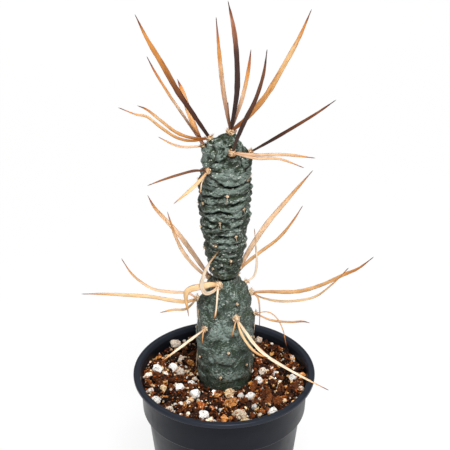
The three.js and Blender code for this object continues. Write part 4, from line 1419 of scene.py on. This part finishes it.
        # How much painted shade the creases and the valleys of the wrinkles get.
        deep = np.clip(groove / 0.75 + 0.7 * bell(first, 0.07) * self.wrinkle, 0, 1)
        return {
            "relief": self.ends(height) * (raised + rough - 0.2), "hollow": deep * self.ends(height),
            "ridge": np.clip(0.5 + 0.75 * raised, 0, 1), "halo": np.clip(1.4 * halo, 0, 1),
        }

    def point(self, share: np.ndarray, around: np.ndarray, offset: float = 0.0,
              detail: np.ndarray | None = None) -> np.ndarray:
        """Points of the skin.

        Args:
            share: Places up the profile, from 0 to 1.
            around: Degrees round from the front.
            offset: How far they stand off the skin.
            detail: Further relief for each.

        Returns:
            Rows of right, back and up. The profile's point is moved along its normal by the relief, turned by
            the angle and moved with the axis.
        """
        radius, height = np.moveaxis(spline(self.profile, share, False), -1, 0)
        ahead = unit(spline(self.profile, share + 1e-4, False) - spline(self.profile, share - 1e-4, False))
        bump = np.where(radius > 0.01, self.relief(radius, height, around) + offset, offset)
        bump = bump + (0 if detail is None else detail)
        turn = np.radians(around)
        right, back = axis_at(height)
        out = radius + bump * ahead[..., 1]
        up = height - bump * ahead[..., 0]
        return np.stack([right + out * np.sin(turn), back - out * np.cos(turn), up], -1)

    def spot(self, share: float, around: float, offset: float = 0.0) -> np.ndarray:
        """One point of the skin, standing off it by the offset."""
        return self.point(np.array(share), np.array(around), offset)

    def at(self, height: float) -> float:
        """The share of the profile at a height."""
        return float(np.interp(height, self.heights, self.shares))

    def normal(self, share: float, around: float) -> np.ndarray:
        """The outward direction of the skin, across small steps up and round it."""
        step = 0.004
        up = self.spot(share + step, around) - self.spot(share - step, around)
        along = self.spot(share, around + 1.0) - self.spot(share, around - 1.0)
        return unit(np.cross(along, up))

    def build(self, wool: bpy.types.Material, paper: dict[Slot, bpy.types.Material]) -> None:
        """Makes the skin, the small areoles and the tufts.

        Args:
            wool: Finish of the cushions.
            paper: Finish of the spines for each slot.
        """
        even = np.linspace(0, self.lengths[-1], self.rows + 2)[1:-1]
        degrees = np.arange(self.sides) / self.sides * 360
        share, around = np.meshgrid(np.interp(even, self.lengths, self.shares), degrees, indexing="ij")
        height = spline(self.profile, share, False)[..., 1]
        fine = self.detail(height, around)
        rings = self.point(share, around, 0.0, fine["relief"])
        skin = Surface.rings(rings, self.spot(0.0, 0.0), self.spot(1.0, 0.0))
        skin.marked(**{key: np.append(fine[key].ravel(), [0.5, 0.5]) for key in ("hollow", "ridge", "halo")})
        piece = skin.built(f"{self.node}_skin", self.finish.material(), Slot.SKIN)
        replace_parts(piece, self.node)
        self.build_small(wool)
        for number, tuft in enumerate(self.tufts):
            self.build_tuft(tuft, self.seed * 100 + number, wool, paper[self.slot])

    def build_small(self, wool: bpy.types.Material) -> None:
        """The small areoles: a woolly knob each, with a few short bristles."""
        parts = []
        for number, (height, around) in enumerate(self.small):
            share = self.at(height)
            normal = self.normal(share, around)
            centre = self.spot(share, around, 0.15)
            random = np.random.default_rng(self.seed * 1000 + number)
            parts.append(cushion(centre, normal, 0.88 + 0.2 * random.random(), 0.75, 16, number, Tone.WOOL))
            parts.append(bristles(random, centre, normal, 0.6, 6, 1.0, Tone.HONEY))
            lean = unit(normal + np.array([0, 0, -1.6]) + 0.3 * random.normal(size=3))
            parts.append(hair(centre, centre + lean * random.uniform(1.4, 2.8), 0.12, Tone.CREAM))
        parts += [self.long_bristle(*bristle) for bristle in self.long_bristles]
        piece = Surface.joined(parts).built(f"{self.node}_areoles", wool, Slot.PALE)
        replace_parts(piece, self.node)

    def long_bristle(self, height: float, around: float, reach: tuple[float, float, float]) -> Surface:
        """A bristle from the skin at a height and degrees round, to a point right, back and up of there."""
        start = self.spot(self.at(height), around)
        return hair(start, start + np.array(reach), 0.2, Tone.CREAM)

    def build_tuft(self, tuft: Tuft, seed: int, wool: bpy.types.Material, paper: bpy.types.Material) -> None:
        """A tuft: its spines, its cushion and the short bristles round their feet."""
        share = self.at(tuft.height)
        normal = self.normal(share, tuft.round)
        centre = self.spot(share, tuft.round, CUSHION_LIFT)
        random = np.random.default_rng(seed)
        blades = Surface.joined([blade(centre, spine, random) for spine in tuft.spines])
        piece = blades.built(f"{tuft.name}_blades", paper, self.slot)
        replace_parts(piece, tuft.name)
        pale = self.slot is Slot.PALE
        wool_tone, bristle_tone = (Tone.WOOL, Tone.CREAM) if pale else (Tone.FELT, Tone.HONEY)
        felt = [cushion(centre, normal, 1.05 * tuft.size, 0.75 * tuft.size, 44, seed, wool_tone)]
        felt.append(bristles(random, centre, normal, 0.92 * tuft.size, 90, 2.2, bristle_tone))
        piece = Surface.joined(felt).built(f"{tuft.name}_wool", wool, self.slot)
        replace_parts(piece, tuft.name)


def blade(centre: np.ndarray, spine: Spine, random: np.random.Generator) -> Surface:
    """A papery spine as a flat tube carried along its path.

    Each ring is a thin lens, cupped across and ridged along. Its half width rises over the first third and
    is drawn to a point, 1 less the fifth power of the share, and its flat turns slowly about the path.

    Args:
        centre: The areole's centre.
        spine: Width, turn, path and colours.
        random: Draws the cupping, the slow turn and the wear of the edges.

    Returns:
        The spine, with its tint, its distance from the middle line and its fibre vector.
    """
    steps, sides = 72, 16
    share = np.linspace(0, 1, steps) ** 0.95
    path = np.vstack([np.zeros(3), np.array(spine.path, float)])
    line = spline(path, share, True) + centre
    along = unit(spline(path, share + 1e-3, True) - spline(path, share - 1e-3, True))
    side = np.empty_like(along)
    first = unit(np.cross(along[0], FRONT))
    angle = math.radians(spine.turn)
    side[0] = first * math.cos(angle) + np.cross(along[0], first) * math.sin(angle)
    for i in range(1, steps):
        side[i] = unit(side[i - 1] - along[i] * (side[i - 1] @ along[i]))
    seed = random.random() * 50
    face = np.cross(along, side)
    roll = np.radians(random.uniform(-16, 16)) * np.sin(np.pi * share * random.uniform(0.8, 1.8) + seed)
    side, face = (side * np.cos(roll)[:, None] + face * np.sin(roll)[:, None],
                  face * np.cos(roll)[:, None] - side * np.sin(roll)[:, None])
    run = np.linalg.norm(np.diff(line, axis=0), axis=1)
    distance = np.concatenate([[0], np.cumsum(run)])
    spread = np.minimum(1, 0.6 + 1.4 * share) * (1 - share ** 5)
    worn = 1 + 0.09 * lumps(np.stack([distance, distance * 0 + seed, distance * 0], -1), 3.0, 3)
    point = np.minimum(1, 0.25 + (distance[-1] - distance) / 1.6)
    half = np.maximum(0.24 * point, spine.width * spread * worn / 2)
    thick = np.clip(0.16 + 0.1 * spine.width, 0.1, 0.42) * (1 - 0.55 * share) * point
    turn = np.arange(sides) / sides * 2 * np.pi
    across, through = np.cos(turn), np.sin(turn)
    cup = random.uniform(0.1, 0.3) * random.choice([-1, 1])
    ridges = 0.05 * np.cos(across * 8 + seed) * (1 - across ** 2)
    lift = (cup * half[:, None] * (across ** 2 - 0.4) + through * thick[:, None] / 2
            + ridges * np.minimum(1, half)[:, None])
    flat = side[:, None] * (half[:, None] * across)[..., None]
    rings = line[:, None] + flat + face[:, None] * lift[..., None]
    surface = Surface.rings(rings, line[0], line[-1] + along[-1] * 0.15)
    tint = np.repeat(shades(spine.tone, distance / distance[-1])[:, None], sides, axis=1)
    along_it = np.repeat(distance[:, None], sides, 1)
    fibre = np.stack([half[:, None] * across, along_it, np.full((steps, sides), seed)], -1)
    edge = np.repeat(np.abs(across)[None], steps, axis=0)
    ends = ([0, 0, seed], [0, distance[-1], seed])
    fibre = np.vstack([fibre.reshape(-1, 3), ends])
    return surface.marked(tint=capped(tint), fibre=fibre, edge=np.append(edge.ravel(), [0, 0]))


def upright(normal: np.ndarray) -> tuple[np.ndarray, np.ndarray]:
    """Two directions that stand square on a normal and on each other."""
    first = unit(np.cross(normal, [0.31, 0.27, 0.91]))
    return first, np.cross(normal, first)


def cushion(centre: np.ndarray, normal: np.ndarray, width: float, depth: float, sides: int, seed: int,
            tone: Tone) -> Surface:
    """A felted cushion: an ellipsoid across the normal, lumpy where strewn points are near.

    Args:
        centre: Its centre.
        normal: The direction that it faces.
        width: Half its width.
        depth: Half its depth.
        sides: Points round it.
        seed: Picks its lumps.
        tone: The colours of lumps, first, and of the gaps between them, last; the darker gaps are partly the
            wool's own tan and partly painted shade.

    Returns:
        The cushion with its tint.
    """
    first, second = upright(normal)
    rise = np.linspace(-np.pi / 2, np.pi / 2, sides // 2 + 2)[1:-1, None]
    turn = np.arange(sides)[None] / sides * 2 * np.pi
    level = np.cos(rise)
    shape = np.stack([level * np.cos(turn), level * np.sin(turn), np.sin(rise) + 0 * turn], axis=-1)
    nearest, second_nearest = cells(shape * width + seed * 3.7, 0.9, 40)
    lump = np.clip((second_nearest - nearest) / 0.45, 0, 1)
    reach = 0.68 + 0.3 * lump + 0.16 * lumps(shape * width + seed, 1.4, 12)
    local = shape * reach[..., None] * np.array([width, width, depth])
    basis = np.stack([first, second, normal])
    rings = centre + local @ basis
    surface = Surface.rings(rings, centre - normal * depth * 0.9, centre + normal * depth * 0.95)
    # Darker in the gaps between lumps: partly the wool's own tan, partly painted shade.
    tint = shades(tone, 1 - np.clip(1.6 * lump, 0, 1))
    return surface.marked(tint=capped(tint))


def bristles(random: np.random.Generator, centre: np.ndarray, normal: np.ndarray, spread: float, count: int,
             length: float, tone: Tone) -> Surface:
    """Short bristles on a cushion: three-sided needles from its surface, leaning away from its middle.

    Args:
        random: Draws their places, lengths and leans.
        centre: The cushion's centre.
        normal: The direction that it faces.
        spread: Half the cushion's width.
        count: How many.
        length: The longest.
        tone: The colour of the bristles from foot to point.

    Returns:
        All of them, with their tint.
    """
    first, second = upright(normal)
    turn = random.random(count) * 2 * np.pi
    out = np.sqrt(random.random(count))
    away = np.cos(turn)[:, None] * first + np.sin(turn)[:, None] * second
    feet = centre + away * (out * spread * 0.85)[:, None] + normal * (spread * 0.3)
    lean = unit(normal + away * (0.3 + 1.1 * out)[:, None] + 0.35 * random.normal(size=(count, 3)))
    tips = feet + lean * (length * (0.35 + 0.65 * random.random(count)))[:, None]
    sides = unit(np.cross(lean, random.normal(size=(count, 3))))
    others = np.cross(lean, sides)
    angles = (0, 2 * np.pi / 3, 4 * np.pi / 3)
    corners = [feet + 0.1 * (math.cos(a) * sides + math.sin(a) * others) for a in angles]
    points = np.stack([*corners, tips], axis=1)
    start = np.arange(count)[:, None] * 4
    faces = np.concatenate([start + np.array(face) for face in ((0, 2, 1), (0, 1, 3), (1, 2, 3), (2, 0, 3))])
    foot, tip = shades(tone, np.array([0.5, 0.95]))
    tint = np.tile(np.stack([foot, foot, foot, tip]), (count, 1))
    return Surface(points.reshape(-1, 3), [faces], {"tint": tint})


LOWER_SEGMENT = StemSegment(
    node="stem_lower",
    profile=((0, 73), (6, 73.3), (11, 76), (13.6, 80), (15, 85), (16, 92), (15.8, 101), (16.4, 111),
             (15.6, 122), (13.7, 130), (11.6, 137), (9.3, 143), (7.4, 147.4), (5.8, 150.3), (0, 150.5)),
    tufts=LOWER_TUFTS,
    small=((111, 7), (103, -58), (99, 49), (94, -8), (138, 35), (88, -76), (116, 62), (108, 105), (96, 100),
           (104, 150), (92, 145), (108, -150), (96, -165), (100, -112), (114, -108), (90, 185)),
    creases=(
        Crease(((-14, 147.2), (-3, 144), (8, 141.2), (21, 138.3), (42, 136.9), (60, 137.1)), 0.3),
        Crease(((-64, 131.7), (-41, 131.1), (-24, 131.4), (-12, 133.9), (4, 136.1), (17, 137.4)), 0.45),
        Crease(((-11, 129.4), (-5, 127.8), (6, 128.7), (15, 130.9)), 0.25),
        Crease(((-29, 113), (-14, 116.4), (-2, 115.7), (14, 117.8), (36, 117.4), (57, 117)), 0.35),
        Crease(((-79, 105.4), (-52, 107.6), (-32, 108.7), (-22, 111.6)), 0.3),
        Crease(((15, 106.1), (30, 107.9), (54, 105.8)), 0.25),
        Crease(((-34, 100.5), (-14, 100.6), (6, 99.5), (28, 99.2), (42, 101.6), (60, 99.8)), 0.3),
        Crease(((-81, 91.2), (-49, 94.8), (-30, 94.2)), 0.25),
        Crease(((6, 88.4), (22, 89.3), (39, 88.5), (55, 87.8)), 0.25)),
    bulges=(
        Bulge(124, -8, 7, 4.5, 0.5), Bulge(120, 40, 6, 4, 0.4), Bulge(105, -5, 8, 4, 0.45),
        Bulge(112, -60, 6, 4, 0.4), Bulge(94, 15, 8, 3.5, 0.4)),
    strewn_creases=18,
    crease_depth=0.3,
    crease_width=1.6,
    fold_depth=0,
    smooth_below=SOIL_LEVEL,
    wrinkle=0.3,
    wrinkle_squash=1.7,
    roughness=0.07,
    finish=SkinFinish("lower_skin", "37443b", "86978f", "303e2a", "10130f", 0.9, 0.14, 0.6, 0.6, 0.75),
    seed=31,
    slot=Slot.PALE,
    long_bristles=((104, -84, (-1.2, -2.5, -10)), (101, -80, (-1, -2.5, -9)), (98, 62, (0.2, -3, -5)),
                   (134, -97, (-27, -1, 3.5)), (131, -88, (0.6, -2.5, -16)), (130, -80, (1.2, -3, -13)),
                   (120, 88, (-0.6, -2, -6))),
)
UPPER_SEGMENT = StemSegment(
    node="stem_upper",
    profile=((0, 151), (5.4, 151.1), (7.8, 153.6), (9, 158), (10.2, 165), (11.4, 175), (13, 187), (13.7, 198),
             (13.5, 208), (12.6, 217), (9.7, 225), (6.3, 231), (3.5, 235.6), (0, 238)),
    tufts=UPPER_TUFTS,
    small=((207, 5), (200, -53), (196, -90), (197, 47), (188, 88), (204, 92), (191, -10), (184, -72),
           (181, 29), (176, -23), (169, -84), (173, 76), (166, 18), (159, -43), (157, 74), (210, -92),
           (213, 60), (200, 130), (190, 150), (180, 120), (170, 140), (162, 170), (188, 190), (176, -170),
           (192, -140), (178, -125), (164, -130), (206, -140)),
    creases=(
        Crease(((-68, 229.8), (-44, 227.9), (-38, 225.1)), 0.9),
        Crease(((-24, 230), (-14, 231), (1, 231.5), (18, 231.2)), 0.8),
        Crease(((-50, 223.6), (-36, 223.8), (-21, 223.9), (-10, 224.8), (-4, 226.3), (2, 227.8), (8, 228.7)),
               1.15),
        Crease(((34, 228.6), (43, 226), (50, 223.7), (52, 220.7), (55, 218.7)), 0.9),
        Crease(((55, 218.7), (72, 218.5), (80, 221)), 0.9),
        Crease(((-37, 217.9), (-29, 215.9), (-18, 213.8), (-4, 212), (12, 211.4), (29, 211.2), (45, 212.3),
                (65, 213.1)), 1.7),
        Crease(((-84, 218), (-66, 218.6), (-49, 219.4)), 1.1),
        Crease(((-47, 211.2), (-31, 211.5), (-10, 211.7)), 1.0),
        Crease(((-38, 234), (-24, 233), (-10, 232.3)), 0.7),
        Crease(((-67, 203.5), (-53, 204.2), (-37, 205.1), (-26, 205.5), (-14, 205.7), (-6, 206.4),
                (2, 207.9)), 1.3),
        Crease(((-52, 199.7), (-42, 200.2), (-30, 200.6), (-20, 201.3), (-13, 201.8)), 0.9),
        Crease(((0, 199.8), (4, 200.9), (10, 201.9), (18, 200.8), (27, 200.7), (33, 201.6), (42, 201.5),
                (53, 201.5)), 1.1),
        Crease(((-53, 193.9), (-39, 195.1), (-27, 195.6), (-16, 196.6), (2, 197.1), (10, 196.2), (21, 195.4),
                (38, 194.6), (46, 195.4)), 1.5),
        Crease(((-57, 190.6), (-40, 190.1), (-28, 189.8), (-16, 190.6)), 0.9),
        Crease(((4, 192.1), (13, 192.3), (20, 193.1), (27, 192.7), (38, 192.8)), 0.7),
        Crease(((-4, 190.5), (4, 189), (16, 187.3), (28, 186.7), (38, 187.2), (51, 188.6)), 1.0),
        Crease(((-58, 184.4), (-41, 185.5), (-27, 186.2), (-14, 188.6), (-10, 189.8)), 1.0),
        Crease(((0, 185.9), (11, 186.1), (21, 186)), 0.6),
        Crease(((-29, 182.9), (-18, 183), (-11, 183.7), (-2, 184.5)), 0.9),
        Crease(((-51, 178.8), (-34, 179.4), (-25, 179.9), (-9, 181.2), (15, 181), (25, 181.2)), 1.1),
        Crease(((-21, 177), (-11, 177.3), (3, 177.2), (16, 176.5), (36, 175.4), (50, 174.8), (58, 175.6)),
               1.1),
        Crease(((-12, 170.2), (-2, 170.4), (9, 170.1), (22, 170.2), (40, 169.4)), 1.0),
        Crease(((-29, 160.5), (-22, 159), (-12, 160.4), (-2, 161.3)), 0.7),
        Crease(((-2, 164.9), (10, 163.4), (28, 163.3), (40, 163.9)), 0.7)),
    bulges=(
        Bulge(232.2, -50, 2, 2.5, 0.9), Bulge(226.3, -27, 2.2, 2.4, 1.0), Bulge(217, 10, 4.5, 3.4, 1.0),
        Bulge(215.4, 43, 2.4, 2.6, 0.9), Bulge(225.9, -81, 2.2, 4, 0.8), Bulge(229.8, 58, 3, 3, 0.7),
        Bulge(222.7, -26.5, 2.6, 2.2, 0.6), Bulge(209, 30, 5, 1.8, 0.5), Bulge(198, 25, 5, 1.8, 0.4),
        Bulge(193, -25, 5, 2, 0.4), Bulge(179.3, 0, 6, 1.6, 0.4), Bulge(173, 10, 5, 2, 0.4)),
    strewn_creases=46,
    crease_depth=1.1,
    crease_width=0.62,
    fold_depth=0.45,
    smooth_below=151.1,
    wrinkle=0.62,
    wrinkle_squash=2.3,
    roughness=0.09,
    finish=SkinFinish("upper_skin", "232e1e", "7a8981", "2a381c", "0a0d07", 0.8, 0.07, 0.25, 1.0, 0.8),
    seed=57,
    slot=Slot.BROWN,
    long_bristles=((213, 60, (3.2, -3.4, 5.5)), (196.1, -90, (-2.2, 0, 0.6)), (207, 5, (-0.4, -1.6, -4)),
                   (191, -10, (0.3, -1.6, -3.6)), (181, 29, (0.8, -1.2, -3))),
)


@dataclass
class Studio:
    """The pale floor, the soft lights and the camera, in metres.

    Attributes:
        distance: From the camera to the point that it looks at.
        down: Degrees that it looks down.
        aim: Right and up of the point that it looks at, over the origin.
        lens: Focal length in millimetres.
        sensor: Width of the camera's sensor in millimetres.
        floor_half: Half the floor's width.
        sky: Strength of the light from all round.
        target: The point that the soft lights are turned to.
        lamps: Place, size and power of each soft light.
    """

    distance: float = 0.7
    down: float = 28.6
    aim: tuple[float, float] = (0.00052, 0.1843)
    lens: float = 104.0
    sensor: float = 36.0
    floor_half: float = 12.0
    sky: float = 0.16
    target: tuple[float, float, float] = (0, 0, 0.15)
    lamps: tuple = (
        ((0.25, -1.1, 2.2), 0.75, 122.0),
        ((-0.2, 1.6, 1.8), 1.0, 49.0),
        ((-1.6, -0.6, 0.9), 0.7, 17.0),
        ((1.6, -0.6, 0.9), 0.7, 17.0),
    )

    def build(self) -> None:
        """Sets the camera, the floor, the lamps, the sky and the plain colour transform."""
        scene = bpy.context.scene
        scene.view_settings.view_transform = "Standard"
        scene.view_settings.look = "None"
        camera = bpy.data.objects.new("camera", bpy.data.cameras.new("camera"))
        scene.collection.objects.link(camera)
        scene.camera = camera
        camera.data.sensor_width, camera.data.lens = self.sensor, self.lens
        angle = math.radians(self.down)
        away, rise = self.distance * math.cos(angle), self.distance * math.sin(angle)
        camera.location = (self.aim[0], -away, self.aim[1] + rise)
        camera.rotation_euler = Euler((math.radians(90) - angle, 0, 0))
        mesh = bpy.data.meshes.new("floor")
        half = self.floor_half
        corners = [(-half, -half, 0), (half, -half, 0), (half, half, 0), (-half, half, 0)]
        mesh.from_pydata(corners, [], [(0, 1, 2, 3)])
        mesh.materials.append(FloorFinish().material())
        floor = bpy.data.objects.new("floor", mesh)
        scene.collection.objects.link(floor)
        for number, (place, size, power) in enumerate(self.lamps):
            lamp = bpy.data.objects.new(f"softbox_{number}", bpy.data.lights.new(f"softbox_{number}", "AREA"))
            lamp.data.shape, lamp.data.size, lamp.data.energy = "SQUARE", size, power
            lamp.location = place
            right, back, up = np.array(self.target) - np.array(place)
            tip = math.atan2(math.hypot(right, back), -up)
            lamp.rotation_euler = Euler((tip, 0, math.atan2(right, -back)))
            scene.collection.objects.link(lamp)
        world = bpy.data.worlds.new("white_room")
        world.use_nodes = True
        world.node_tree.nodes["Background"].inputs["Color"].default_value = (1, 1, 1, 1)
        world.node_tree.nodes["Background"].inputs["Strength"].default_value = self.sky
        scene.world = world


def main() -> None:
    """Builds the studio, the pot, the soil and the two segments with their spines."""
    logging.basicConfig(level=logging.INFO, format="%(name)s: %(message)s")
    Studio().build()
    pot = NurseryPot()
    pot.build()
    PottingMix(pot).build()
    wool = WoolFinish().material()
    straw = PaperFinish("straw_paper", lines=0.38, edge=0.95, burnt=(0.5, 0.32, 0.18))
    brown = PaperFinish("brown_paper", lines=0.6)
    paper = {Slot.PALE: straw.material(), Slot.BROWN: brown.material()}
    for segment in (LOWER_SEGMENT, UPPER_SEGMENT):
        segment.build(wool, paper)


if __name__ == "__main__":
    main()
